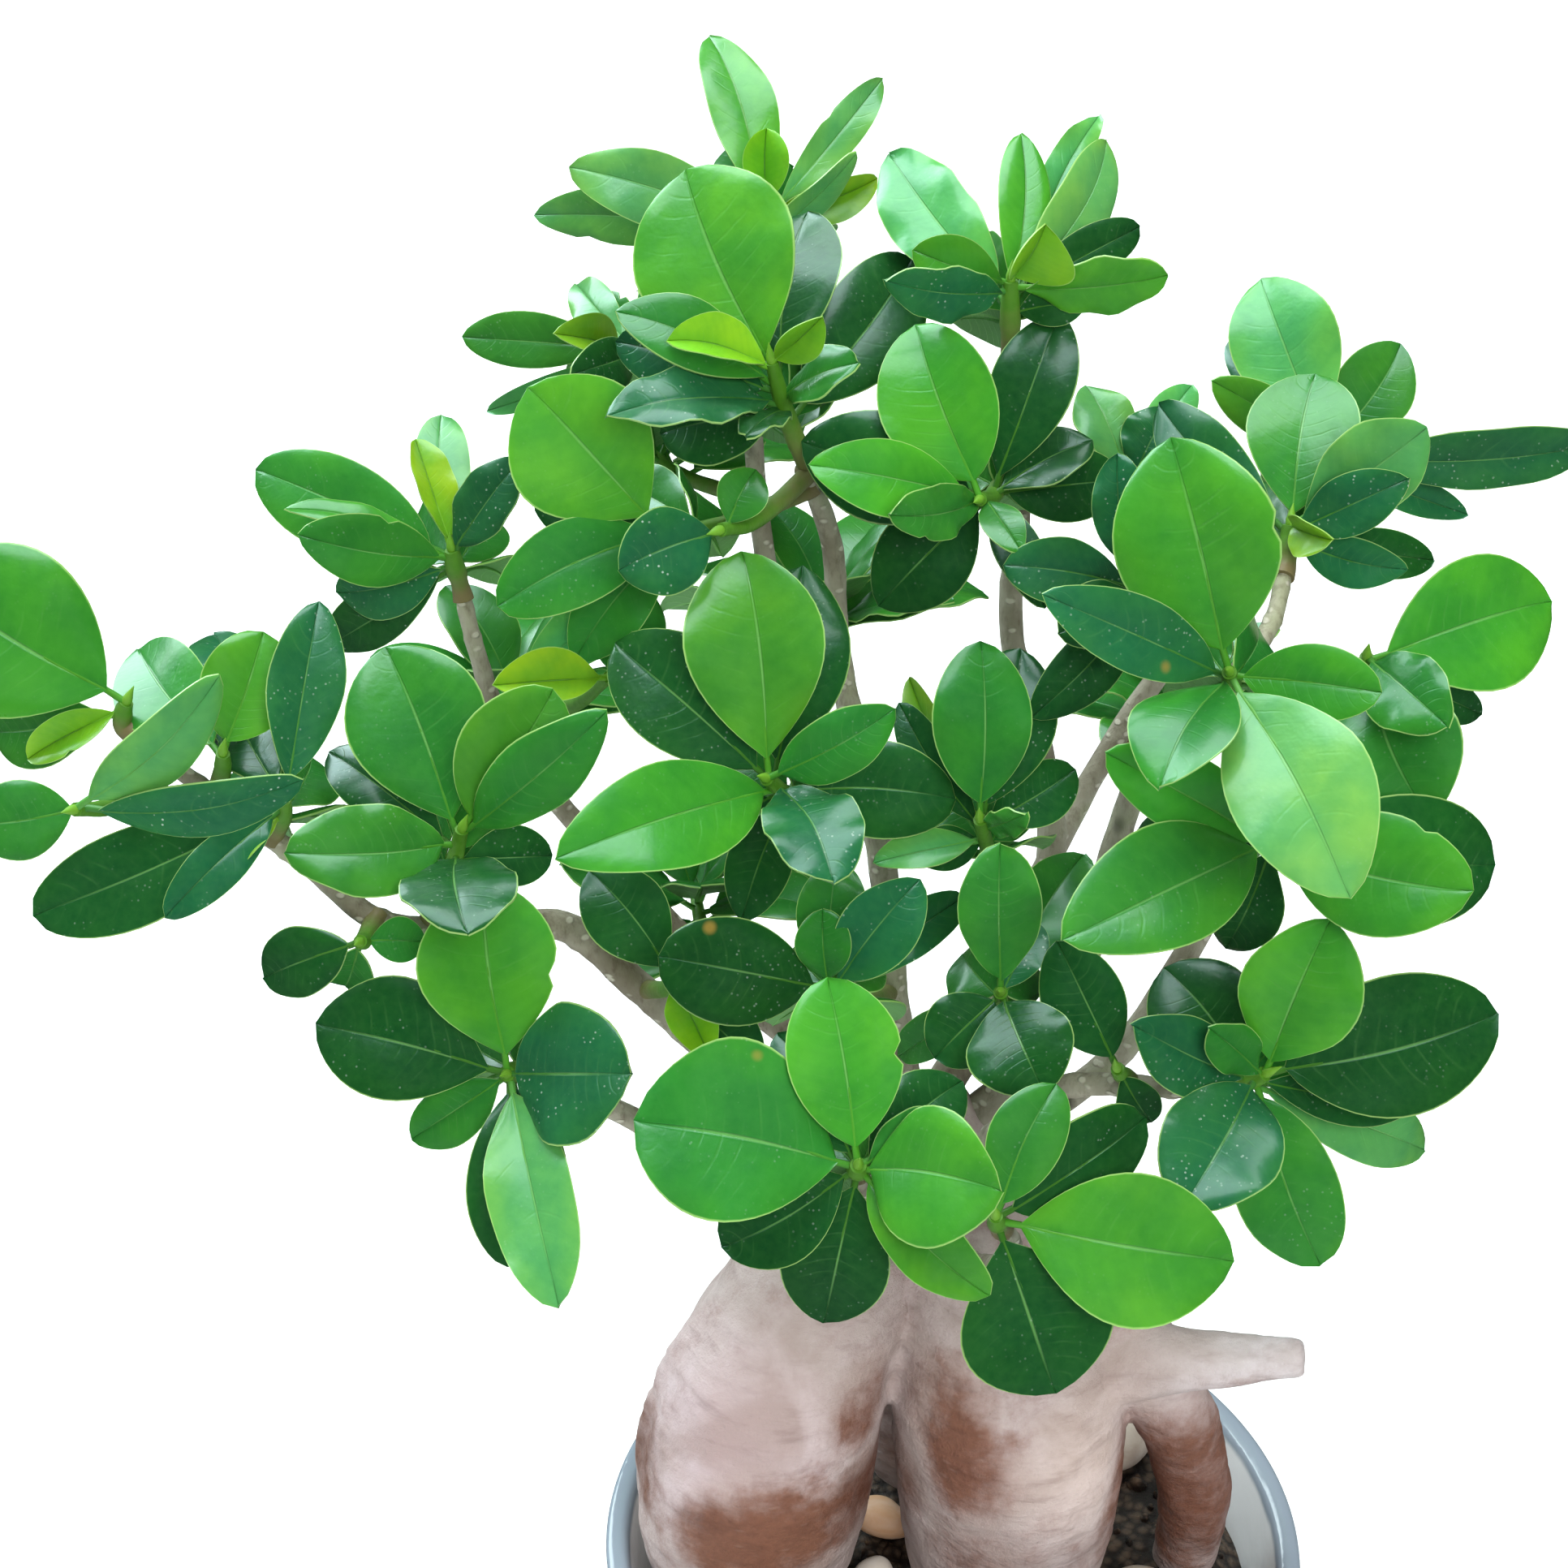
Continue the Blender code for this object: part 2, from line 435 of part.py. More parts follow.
def build_pot():
    slope = (POT_RIM_RADIUS - POT_BASE_RADIUS) / POT_HEIGHT
    rise = POT_ROUNDING
    profile = [
        (POT_BASE_RADIUS - rise, 0.0),
        (POT_BASE_RADIUS + slope * rise, rise),
        (POT_RIM_RADIUS - slope * rise, POT_HEIGHT - rise),
        (POT_RIM_RADIUS - rise, POT_HEIGHT),
        (pot_inner_radius(POT_HEIGHT) + rise, POT_HEIGHT),
        (pot_inner_radius(POT_HEIGHT - rise), POT_HEIGHT - rise),
        (pot_inner_radius(POT_FLOOR), POT_FLOOR),
    ]
    verts, faces = turned(profile, POT_SIDES)
    pot = make_object("pot", verts, faces, GLAZE_WHITE, 0.15)
    holes = Helpers("pot_drain_holes")
    for k in range(DRAIN_HOLES):
        angle = math.tau * (k + 0.5) / DRAIN_HOLES
        centre = Vector((math.cos(angle), math.sin(angle), 0.0)) * DRAIN_HOLE_CIRCLE
        path = [centre - Vector((0, 0, POT_FLOOR)), centre + Vector((0, 0, 2 * POT_FLOOR))]
        verts, faces = tube(path, [DRAIN_HOLE_RADIUS] * 2, DRAIN_HOLE_SIDES)
        holes.add(f"drain_hole_{k}", verts, faces)
    boolean(pot, "drain_holes", holes, "DIFFERENCE")


def build_soil(root_tubes):
    bottom = POT_FLOOR + GAP
    profile = [
        (pot_inner_radius(bottom) * math.cos(math.pi / POT_SIDES) - GAP, bottom),
        (pot_inner_radius(SOIL_TOP) * math.cos(math.pi / POT_SIDES) - GAP, SOIL_TOP),
    ]
    verts, faces = turned(profile, POT_SIDES)
    soil = make_object("soil", verts, faces, SOIL_BROWN, 0.95)
    pockets = Helpers("soil_root_pockets")
    for name, (path, radii) in root_tubes.items():
        if path[0].z < SOIL_TOP:
            wider = [radius + GAP / math.cos(math.pi / ROOT_SIDES) for radius in radii]
            lower = [path[0] - GAP * (path[1] - path[0]).normalized(), *path[1:]]
            verts, faces = tube(lower, wider, ROOT_SIDES)
            pockets.add(f"pocket_{name}", verts, faces)
    boolean(soil, "root_pockets", pockets, "DIFFERENCE")


def pebble_shape(size, height_share, turn):
    """A rounded pebble about the origin, a little uneven."""
    ball = bmesh.new()
    bmesh.ops.create_icosphere(ball, subdivisions=2, radius=1.0)
    half = 0.5 * PEBBLE_LENGTH * size * Vector((1.0, PEBBLE_WIDTH_SHARE, PEBBLE_WIDTH_SHARE * height_share))
    spin = Quaternion((0, 0, 1), math.radians(turn))
    verts = []
    for vert in ball.verts:
        x, y, z = vert.co
        uneven = 1.0 + 0.07 * math.sin(3 * x + turn) + 0.05 * math.cos(4 * y - z + turn)
        verts.append(spin @ Vector((x * half.x, y * half.y, z * half.z)) * uneven)
    faces = [[vert.index for vert in face.verts] for face in ball.faces]
    ball.free()
    return verts, faces


def touches(tree, middle, verts, faces):
    """Whether a shape crosses another one or has its middle inside it."""
    place, normal, _, _ = tree.find_nearest(middle)
    return (middle - place).dot(normal) < 0 or bool(tree.overlap(tree_of(verts, faces)))


def build_pebbles(root_trees):
    """Each pebble starts at its place and moves out and round until nothing touches it."""
    taken = list(root_trees)
    for name, angle, share, size, height_share, colour in PEBBLES:
        shape, faces = pebble_shape(size, height_share, angle)
        lowest = min(vert.z for vert in shape)
        reach = max(math.hypot(vert.x, vert.y) for vert in shape)
        furthest = pot_inner_radius(SOIL_TOP) - reach - PEBBLE_EDGE_GAP
        for step in range(PEBBLE_TURNS * PEBBLE_OUTWARD_STEPS):
            outward_step, turn_step = divmod(step, PEBBLE_TURNS)
            turn = math.radians(angle + turn_step * PEBBLE_TURN_STEP * (-1) ** turn_step)
            distance = share * pot_inner_radius(SOIL_TOP) + outward_step * PEBBLE_OUTWARD_STEP
            distance = min(distance, furthest)
            middle = Vector((math.cos(turn), math.sin(turn), 0.0)) * distance
            middle.z = SOIL_TOP + GAP - lowest
            wider = [middle + vert * (1.0 + 2 * PEBBLE_EDGE_GAP / PEBBLE_LENGTH) for vert in shape]
            if not any(touches(tree, middle, wider, faces) for tree in taken):
                break
        verts = [middle + vert for vert in shape]
        taken.append(tree_of(verts, faces))
        make_object(name, verts, faces, colour, 0.6)


# ---------------------------------------------------------------- roots, trunk and branches


def root_paths():
    """Path and radii of each root, from its foot in the soil to the trunk."""
    rise = TRUNK_TOP.z - SOIL_TOP
    paths = {}
    for name, places in ROOTS.items():
        path = []
        radii = []
        for x, y, up, radius in places:
            height = SOIL_TOP + up * rise
            spread = pot_inner_radius(min(height, SOIL_TOP))
            path.append(Vector((x * spread, y * spread, height)))
            radii.append(radius * spread)
        path[0].z = max(path[0].z, POT_FLOOR + ROOT_FLOOR_GAP)
        paths[name] = (path, radii)
    top_path, _ = paths["middle_bulb"]
    top_path[-1] = TRUNK_TOP.copy()
    return paths


def build_trunk(paths):
    trunk = None
    joined = Helpers("trunk_and_roots_shapes")
    trees = []
    for name, (path, radii) in paths.items():
        verts, faces = tube(path, radii, ROOT_SIDES)
        trees.append(tree_of(verts, faces))
        if trunk is None:
            trunk = make_object("trunk_and_roots", verts, faces, ROOT_SKIN, 0.7)
        else:
            joined.add(f"root_{name}", verts, faces)
    boolean(trunk, "grown_together", joined, "UNION")
    return trees


def seat(trees, outside, inside):
    """Where the line from outside to inside first meets a shape, and the surface's direction."""
    ray = (inside - outside).normalized()
    hits = [tree.ray_cast(outside, ray) for tree in trees]
    hits = [(distance, place, normal) for place, normal, _, distance in hits if place]
    distance, place, normal = min(hits, key=lambda hit: hit[0])
    if normal.dot(ray) > 0:
        normal = -normal
    return place, normal


def keeps_off(trees, path, radii, sides):
    """Whether a tube keeps off the shapes that it grows from."""
    ahead = (path[1] - path[0]).normalized()
    lower = [path[0] - FOOT_CLEARANCE * ahead, *path[1:]]
    wider = tree_of(*tube(lower, [radius + FOOT_CLEARANCE for radius in radii], sides))
    return not any(tree.overlap(wider) for tree in trees)


def trunk_axis(share):
    """A place on the middle line of the trunk, a share of the way from the soil to its top."""
    foot = Vector((0.0, TRUNK_FOOT_BACK, SOIL_TOP))
    return foot.lerp(TRUNK_TOP, share)


def build_branches(trunk_trees):
    """Each branch is grafted onto the trunk, so it starts at the trunk's surface."""
    paths = {}
    for name, (share, *places) in BRANCHES.items():
        onward = [on_sheet(*place[:3]) for place in places]
        radii = [place[3] * BRANCH_THICKNESS for place in places]
        start, normal = seat(trunk_trees, onward[0], trunk_axis(share))
        radii = [radii[0], radii[0], *radii]
        for step in range(FOOT_LIFTS):
            foot = start + (GAP + step * FOOT_LIFT) * normal
            path = [foot, foot + radii[0] * normal, *onward]
            if keeps_off(trunk_trees, path, radii, BRANCH_SIDES):
                break
        verts, faces = tube(path, radii, BRANCH_SIDES)
        make_object(f"branch_{name}", verts, faces, BARK, 0.8)
        paths[name] = (path, radii, tree_of(verts, faces))
    return paths


# ---------------------------------------------------------------- leaves


class Leaf:
    """A blade from its base on the stem to its tip, facing the focus unless it is turned."""

    def __init__(self, base, tip, width, turn, age, faces_to=None):
        self.base = base
        self.tip = tip
        self.width = width * LEAF_WIDTH_SCALE
        self.turn = turn
        self.age = age
        self.faces_to = faces_to

    def moved(self, swing, turn, share):
        """The same leaf with its tip swung out, turned a little more, and made smaller."""
        sight = (FOCUS - self.tip).normalized()
        tip = self.base + share * (self.tip + swing * sight - self.base)
        leaf = Leaf(self.base, tip, share * self.width, self.turn + turn, self.age, self.faces_to)
        leaf.width = share * self.width
        return leaf

    def frame(self):
        along = self.tip - self.base
        length = along.length
        along.normalize()
        towards = self.faces_to or (FOCUS - self.base).normalized()
        face = (towards - towards.dot(along) * along).normalized()
        face.rotate(Quaternion(along, math.radians(self.turn)))
        return along, along.cross(face), face, length

    def half_width(self, share):
        blade = max(0.0, (share - PETIOLE_SHARE) / (1.0 - PETIOLE_SHARE))
        outline = 0.0
        if 0.0 < blade < 1.0:
            outline = math.sin(math.pi * blade**OUTLINE_SKEW) ** OUTLINE_FULLNESS
        petiole = PETIOLE_HALF_WIDTH if share < 0.5 else 0.0
        return max(petiole, 0.5 * self.width * outline)

    def shape(self, grow=0.0):
        """Points and faces of the closed blade, flat above with a keel below. A bigger one, which
        keeps off its neighbours, has lower edges as well."""
        along, side, face, length = self.frame()
        verts = []
        for share in LEAF_ROWS[:-1]:
            half = self.half_width(share)
            bow = 4.0 * BOW[self.age] * length * share * (1.0 - share)
            middle = self.base + share * length * along + bow * face
            lift = FOLD[self.age] * (half - PETIOLE_HALF_WIDTH)
            thick = 0.5 * LEAF_THICKNESS + grow
            wide = half + grow
            verts.append(middle + wide * side + (lift + grow) * face)
            verts.append(middle - wide * side + (lift + grow) * face)
            if grow:
                verts.append(middle - wide * side + (lift - grow) * face)
            verts.append(middle - thick * face)
            if grow:
                verts.append(middle + wide * side + (lift - grow) * face)
        verts.append(self.tip + grow * along)
        rows = len(LEAF_ROWS) - 1
        sides = len(verts) // rows
        faces = ring_faces(rows, sides)[:-1]
        last = sides * (rows - 1)
        for k in range(sides):
            faces.append([last + k, last + (k + 1) % sides, sides * rows])
        return verts, faces


def box_of(verts):
    points = np.array([tuple(vert) for vert in verts])
    return points.min(axis=0), points.max(axis=0)


class Crowd:
    """What has been placed so far, to find clear space for the next leaf."""

    def __init__(self):
        self.low = np.empty((0, 3))
        self.high = np.empty((0, 3))
        self.trees = []
        self.owners = []

    def add(self, owner, verts, faces):
        low, high = box_of(verts)
        self.low = np.vstack([self.low, low])
        self.high = np.vstack([self.high, high])
        self.trees.append(tree_of(verts, faces))
        self.owners.append(owner)

    def clear(self, owner, verts, faces):
        """Whether a shape keeps off everything of other owners."""
        low, high = box_of(verts)
        near = np.all((self.low <= high) & (self.high >= low), axis=1)
        tree = tree_of(verts, faces)
        for index in np.nonzero(near)[0]:
            if self.owners[index] != owner and self.trees[index].overlap(tree):
                return False
        return True


def settle(leaf, owner, crowd, blades):
    """The leaf as near to its wanted place and size as clear space lets it be, if there is any."""
    for share in SHARES:
        for swing in SWINGS:
            for turn in TURNS:
                trial = leaf.moved(swing, turn, share)
                verts, faces = trial.shape(LEAF_CLEARANCE)
                if crowd.clear(owner, verts, faces) and blades.clear(None, *blade_of(verts, faces)):
                    return trial
    return None


def blade_of(verts, faces):
    """The part of a leaf beyond its petiole, which keeps off its own shoot's other blades too."""
    row = len(verts) // (len(LEAF_ROWS) - 1)
    return verts[row:], [[index - row for index in face] for face in faces if min(face) >= row]


def shoot_stem(branch, bud):
    """Path and radii of a green stem from the nearest place on its branch to its bud."""
    path, radii, tree = branch
    end = on_sheet(*bud)
    foot, _, _, away = tree.find_nearest(end)
    foot, _, _, _ = tree.find_nearest(end - STEM_RISE * away * STRAIGHT_UP)
    axis = min(nearest_on_path(path, foot), key=lambda place: (place - foot).length)
    start, normal = seat([tree], end, axis)
    reach = (end - start).length
    radii = [STEM_FOOT_RADIUS, STEM_FOOT_RADIUS, STEM_FOOT_RADIUS, STEM_TIP_RADIUS, BUD_RADIUS]
    for step in range(FOOT_LIFTS):
        foot = start + (GAP + step * FOOT_LIFT) * normal
        first = foot + STEM_BEND * STEM_FOOT_RADIUS * normal
        middle = first.lerp(end - STEM_ARCH * reach * STRAIGHT_UP, STEM_MIDDLE)
        path = [foot, first, middle, end, end + BUD_LENGTH * (end - middle).normalized()]
        if keeps_off([tree], path, radii, STEM_SIDES):
            break
    return path, radii


def nearest_on_path(path, place):
    """The place nearest to a point on each stretch of a path."""
    found = []
    for start, end in zip(path[:-1], path[1:]):
        stretch = end - start
        share = (place - start).dot(stretch) / stretch.length_squared
        found.append(start + min(1.0 - STRETCH_END, max(STRETCH_END, share)) * stretch)
    return found


def leaf_bases(path, count):
    """Places on the stem's middle line for a number of leaves, from the bud down."""
    bud, lower, foot = path[-2], path[-3], path[-4]
    upper_length = (bud - lower).length
    leafy_length = upper_length + LEAFY_SHARE * (lower - foot).length
    spacing = min(LEAF_SPACING, leafy_length / count)
    bases = []
    for number in range(count):
        distance = spacing * number
        if distance <= upper_length:
            bases.append(bud + distance * (lower - bud).normalized())
        else:
            bases.append(lower + (distance - upper_length) * (foot - lower).normalized())
    return bases


def listed_leaves(bud, leaves, path):
    """The leaves of a listed shoot, with those on its far side after them."""
    made = []
    far = FAR_LEAVES if len(leaves) >= FEWEST_FOR_FAR_LEAVES else ()
    bases = leaf_bases(path, len(leaves) + len(far))
    for base, (across, up, out, width, turn, age) in zip(bases, leaves):
        made.append(Leaf(base, on_sheet(across, up, out), CROWN_SCALE * width, turn, age))
    for base, (across, up, out, width, turn) in zip(bases[len(leaves):], far):
        tip = on_sheet(bud[0] + across, bud[1] + up, bud[2] + out)
        upward = (tip - base).normalized() + 2.0 * STRAIGHT_UP
        made.append(Leaf(base, tip, CROWN_SCALE * width, turn, "m", upward.normalized()))
    return made


def round_leaves(bud, count, length, path):
    """Leaves round a stem by the golden angle, the lower ones longer and more level."""
    made = []
    centre = on_sheet(*bud)
    for number, base in enumerate(leaf_bases(path, count)):
        angle = GOLDEN_ANGLE * number
        level = (number + 1) / count
        rise = math.radians(60.0 - 65.0 * level)
        flat = Vector((math.cos(angle), math.sin(angle), 0.0))
        outward = math.cos(rise) * flat + math.sin(rise) * STRAIGHT_UP
        size = CROWN_SCALE * length * (0.7 + 0.35 * level)
        upward = STRAIGHT_UP - 0.4 * flat
        tip = centre + size * outward
        made.append(Leaf(base, tip, ROUND_LEAF_WIDTH * size, 0.0, "m", upward.normalized()))
    return made


def build_shoots(branches, crowd):
    """Stems first, so that every leaf can keep off every stem, then leaves from the front."""
    stems = {}
    wanted = []
    listed = [(name, *shoot) for name, shoot in SHOOTS.items()]
    by_rule = [(name, *shoot) for name, shoot in ROUND_SHOOTS.items()]
    for name, branch, bud, *_ in listed + by_rule:
        path, radii = shoot_stem(branches[branch], bud)
        verts, faces = tube(path, radii, STEM_SIDES)
        stems[name] = (verts, faces, path)
        crowd.add(name, verts, faces)
    for name, _, bud, leaves in listed:
        wanted += [(name, leaf) for leaf in listed_leaves(bud, leaves, stems[name][2])]
    for name, _, bud, count, length in by_rule:
        wanted += [(name, leaf) for leaf in round_leaves(bud, count, length, stems[name][2])]
    wanted.sort(key=lambda item: (item[1].tip - FOCUS).length)
    grown = {name: [] for name in stems}
    blades = {name: Crowd() for name in stems}
    for name, leaf in wanted:
        settled = settle(leaf, name, crowd, blades[name])
        if settled is None:
            continue
        verts, faces = settled.shape()
        crowd.add(name, verts, faces)
        blades[name].add(name, *blade_of(verts, faces))
        grown[name].append((verts, faces))
    for name, (verts, faces, _) in stems.items():
        shoot = make_object(f"shoot_{name}", verts, faces, GREEN, 0.35)
        helpers = Helpers(f"shoot_{name}_leaves")
        for number, (leaf_verts, leaf_faces) in enumerate(grown[name]):
            helpers.add(f"leaf_{name}_{number}", leaf_verts, leaf_faces)
        boolean(shoot, "leaves", helpers, "UNION")


def main():
    for obj in list(bpy.data.objects):
        bpy.data.objects.remove(obj, do_unlink=True)
    paths = root_paths()
    build_pot()
    build_soil(paths)
    trunk_trees = build_trunk(paths)
    build_pebbles(trunk_trees)
    branches = build_branches(trunk_trees)
    crowd = Crowd()
    for name, (path, radii) in paths.items():
        crowd.add("trunk", *tube(path, radii, ROOT_SIDES))
    for name, (path, radii, _) in branches.items():
        crowd.add("branch", *tube(path, radii, BRANCH_SIDES))
    build_shoots(branches, crowd)


main()
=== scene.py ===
"""A ginseng fig bonsai in a glazed pot, laid out as a Blender add-on and run as a script.

Lengths inside the crown's and the roots' layout are millimetres; meshes are made in metres.
"""

import math
import random

import bmesh
import bpy
import numpy as np
from bpy.props import FloatProperty, FloatVectorProperty, IntProperty, PointerProperty
from mathutils import Matrix, Quaternion, Vector, noise
from mathutils.bvhtree import BVHTree


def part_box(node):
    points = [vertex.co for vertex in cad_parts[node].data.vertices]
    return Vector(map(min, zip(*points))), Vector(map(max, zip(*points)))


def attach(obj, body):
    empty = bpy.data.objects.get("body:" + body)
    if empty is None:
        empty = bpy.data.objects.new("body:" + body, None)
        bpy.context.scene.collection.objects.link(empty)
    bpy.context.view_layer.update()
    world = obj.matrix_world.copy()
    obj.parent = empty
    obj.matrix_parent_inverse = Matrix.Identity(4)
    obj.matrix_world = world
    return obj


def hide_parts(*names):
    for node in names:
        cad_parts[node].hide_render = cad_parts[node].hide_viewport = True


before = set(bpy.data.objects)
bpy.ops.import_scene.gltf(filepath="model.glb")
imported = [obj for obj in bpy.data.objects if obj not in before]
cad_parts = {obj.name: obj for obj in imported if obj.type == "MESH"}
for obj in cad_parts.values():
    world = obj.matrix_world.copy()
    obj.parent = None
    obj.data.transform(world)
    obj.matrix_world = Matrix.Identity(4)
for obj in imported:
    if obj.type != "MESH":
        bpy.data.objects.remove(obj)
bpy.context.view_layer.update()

bl_info = {
    "name": "Ginseng fig bonsai",
    "version": (1, 0, 0),
    "blender": (4, 5, 0),
    "location": "3D View > Sidebar > Bonsai",
    "description": "Builds a ginseng fig bonsai in its pot, piece by piece",
    "category": "Add Mesh",
}

MM = 0.001
GAP = 0.3  # air between two pieces of the solid model

_, POT_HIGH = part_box("pot")
SOIL_LOW, SOIL_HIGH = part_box("soil")
POT_HEIGHT = round(POT_HIGH.z / MM, 3)
POT_RIM_RADIUS = 80.0
POT_BASE_RADIUS = 57.0
POT_WALL = 5.0
POT_SLOPE = (POT_RIM_RADIUS - POT_BASE_RADIUS) / POT_HEIGHT  # how far the wall leans out
SOIL_TOP = round(SOIL_HIGH.z / MM, 3)
POT_FLOOR = round(SOIL_LOW.z / MM, 3) - GAP
FOOT_RECESS = 1.5
DRAIN_HOLES = 3
DRAIN_HOLE_RADIUS = 4.0
DRAIN_HOLE_CIRCLE = 26.0
DRAIN_HOLE_SIDES = 32
FOOT_RING = (0.86, 0.89, 0.91)  # shares of the base radius at which its inner side steps down
FOOT_EDGE = 0.3  # how far inside the wall's line the foot's outer edge is
FOOT_BEND = 6.0  # height up to which the foot is rounded
LIP_HEIGHT = 12.0  # how far below the rim the lip's outer side starts
INNER_LIP_HEIGHT = 14.0
INNER_LIP_STEP = 0.2
FLOOR_CORNER = 4.0  # reach of the rounding between the wall and the floor
FLOOR_MIDDLE = 8.0  # how far beyond half the base radius the floor's last ring is
CORNER_STEPS = 5  # stretches of a rounded corner

SOIL_SIDES = 240
SOIL_RINGS = 72  # rings of the soil's top, from the pot's wall to its middle
SOIL_SIDE_HEIGHTS = (30.0, 50.0, SOIL_TOP - 12.0)
SOIL_AIR = 0.1  # between the visible soil and the pot's wall
CRUMB_STRETCH = (0.6, 1.1)
CRUMB_SHADE = (0.5, 1.8)
CRUMB_WARMTH = (1.0, 0.92, 0.85)
CRUMB_RISE = 0.35  # how far a crumb's middle is above the soil, as a share of its size
SINK_START = 0.82  # share of the radius beyond which the soil sinks towards the pot
SINK_WIDTH = 0.18
PEBBLE_DENTS = 6.5
PEBBLE_GRAIN = (0.03, 2.4)  # height, and size of its lumps
PEBBLE_SWELL = 0.25  # makes up for what the rounding of its faces takes off a pebble

TRUNK_TOP = Vector((-10.0, 24.0, POT_HEIGHT + 104.0))
TRUNK_FOOT_BACK = 13.0

# The crown is laid out on a sheet that leans back. Its places fan out from one focus point:
# across and up on the sheet, and out from the sheet towards the focus.
SHEET_LEAN = math.radians(31.0)
FOCUS_DISTANCE = 521.0
RIGHT = Vector((1.0, 0.0, 0.0))
STRAIGHT_UP = Vector((0.0, 0.0, 1.0))
INWARD = Vector((0.0, math.cos(SHEET_LEAN), -math.sin(SHEET_LEAN)))
UPWARD = Vector((0.0, math.sin(SHEET_LEAN), math.cos(SHEET_LEAN)))
SHEET_CENTRE = Vector((-38.6, 11.0, POT_HEIGHT + 193.0))
FOCUS = SHEET_CENTRE - FOCUS_DISTANCE * INWARD

ROOT_SIDES = 12
BRANCH_SIDES = 8
FOOT_CLEARANCE = 0.2  # least air between a branch or a stem and what it grows from
FOOT_LIFT = 0.1  # how much further off a foot moves at a time to be clear
FOOT_LIFTS = 7
STRETCH_END = 0.05  # share of a branch's stretch, at each of its ends, that no stem aims at
STEM_SIDES = 6
STEM_FOOT_RADIUS = 1.7
STEM_TIP_RADIUS = 1.2
STEM_BEND = 1.3  # how far off its branch a stem bends, in radii of its foot
STEM_RISE = 0.35  # how much a stem climbs for its length
STEM_ARCH = 0.12  # how far its middle hangs below its end, for its length
STEM_MIDDLE = 0.6  # where its middle is, from its foot
BUD_RADIUS = 0.4
BUD_LENGTH = 4.0
LEAF_SPACING = 1.5  # between leaf bases along a stem
LEAFY_SHARE = 0.8  # how far down a stem's lower stretch leaves stand
LEAF_THICKNESS = 1.0
LEAF_CLEARANCE = 0.4
PETIOLE_HALF_WIDTH = 0.7
PETIOLE_SHARE = 0.1  # share of a leaf's length
OUTLINE_SKEW = 1.15  # over 1, the leaf is widest beyond its middle
OUTLINE_FULLNESS = 0.65  # lower is blunter
LEAF_ROWS = (0.0, 0.12, 0.42, 0.78, 1.0)

# What a leaf tries in turn to find room: how far its tip swings towards the focus, how much more
# it turns in degrees, and its size as a share.
SWINGS = (0, 4, -4, 8, -8, 12, -12, 17, -17)
TURNS = (0, 14, -14, 28, -28)
SHARES = (1.0, 0.93, 0.86, 0.79, 0.72, 0.65, 0.57, 0.5, 0.42, 0.34)

# How strongly a leaf is folded along its midrib and bowed along its length, by its age:
# y young, l light, m middle, d dark and old, t tough and dusty, p pale and thin.
FOLD = {"y": 0.45, "l": 0.2, "m": 0.16, "d": 0.12, "t": 0.22, "p": 0.16}
BOW = {"y": 0.05, "l": 0.06, "m": 0.07, "d": 0.07, "t": 0.08, "p": 0.06}

WAVINESS = {"y": 0.5, "l": 0.9, "m": 1.0, "d": 0.8, "t": 1.2, "p": 1.3}
DUST = {"y": 0.0, "l": 0.05, "m": 0.2, "d": 0.45, "t": 1.0, "p": 0.1}
LEAF_COLOURS = {"y": "young_colour", "l": "light_colour", "m": "middle_colour",
                "d": "dark_colour", "t": "tough_colour", "p": "pale_colour"}

# Where the points of a leaf's rows lie, from one margin over the midrib to the other.
ACROSS = (-1.0, -0.93, -0.8, -0.6, -0.38, -0.18, -0.06, 0.0, 0.06, 0.18, 0.38, 0.6, 0.8, 0.93, 1.0)
SHEET_THICKNESS = 0.35
TOP_SLOT = 0
UNDER_SLOT = 1
STEM_SLOT = 2
SHARP_EDGE = math.radians(50.0)  # edges with a sharper turn aren't shaded smooth

FINE_ROOT_SIDES = 40
FINE_ROOT_STEPS = 8  # rings along each stretch of a root
ROOT_FOOT_SHARE = 0.7  # of its laid-out radius
ROOT_SWELL = 0.35  # makes up for what the smoothing takes off the roots

BRANCH_SINK = 3.0  # how deep a visible branch reaches into the trunk
BRANCH_FLARE = (1.3, 1.22)  # how much thicker its first two rings are
SCAR_REACH = 0.7
FIRST_SCAR = (6.0, 12.0)  # nearest and furthest from the foot
SCAR_SPACING = (5.0, 12.0)
SCARLESS_END = 3.0
DOME_TURNS = (30.0, 55.0, 75.0, 88.0)  # degrees round a branch's rounded end

FINE_STEM_SIDES = 16
FINE_STEM_STEPS = 9
STEM_SINK = 2.2  # how deep a visible stem reaches into its branch
STEM_FLARE = (1.35, 1.15)
NODE_SWELL = 0.16  # how much thicker a stem is where a leaf stands
NODE_REACH = 0.8
BUD_SIDES = 12
BUD_BEND = 0.03
# How far each ring of a bud is beyond the stem's end, and its radius.
BUD_RINGS = ((-1.0, 0.75), (0.2, 0.95), (1.0, 1.0), (2.0, 0.75), (3.1, 0.4), (4.2, 0.08))

STALK_SIDES = 8
STALK_GREEN = 0.55  # share of the leaf's own colour in its stalk
# The stalk runs on under the blade: shares of the blade's length and of the stalk's radius.
STALK_TAPER = ((0.0, 0.95), (0.12, 0.8), (0.3, 0.62), (0.5, 0.46), (0.7, 0.32), (0.9, 0.18))
GROOVE_DEPTH = 0.16  # of the midrib's groove
GROOVE_WIDTH = 0.06  # share of the half width
NOTCH_REACH = 0.035  # share of the length
WAVE_LAG = 1.9  # how far the waves of one margin are behind the other's

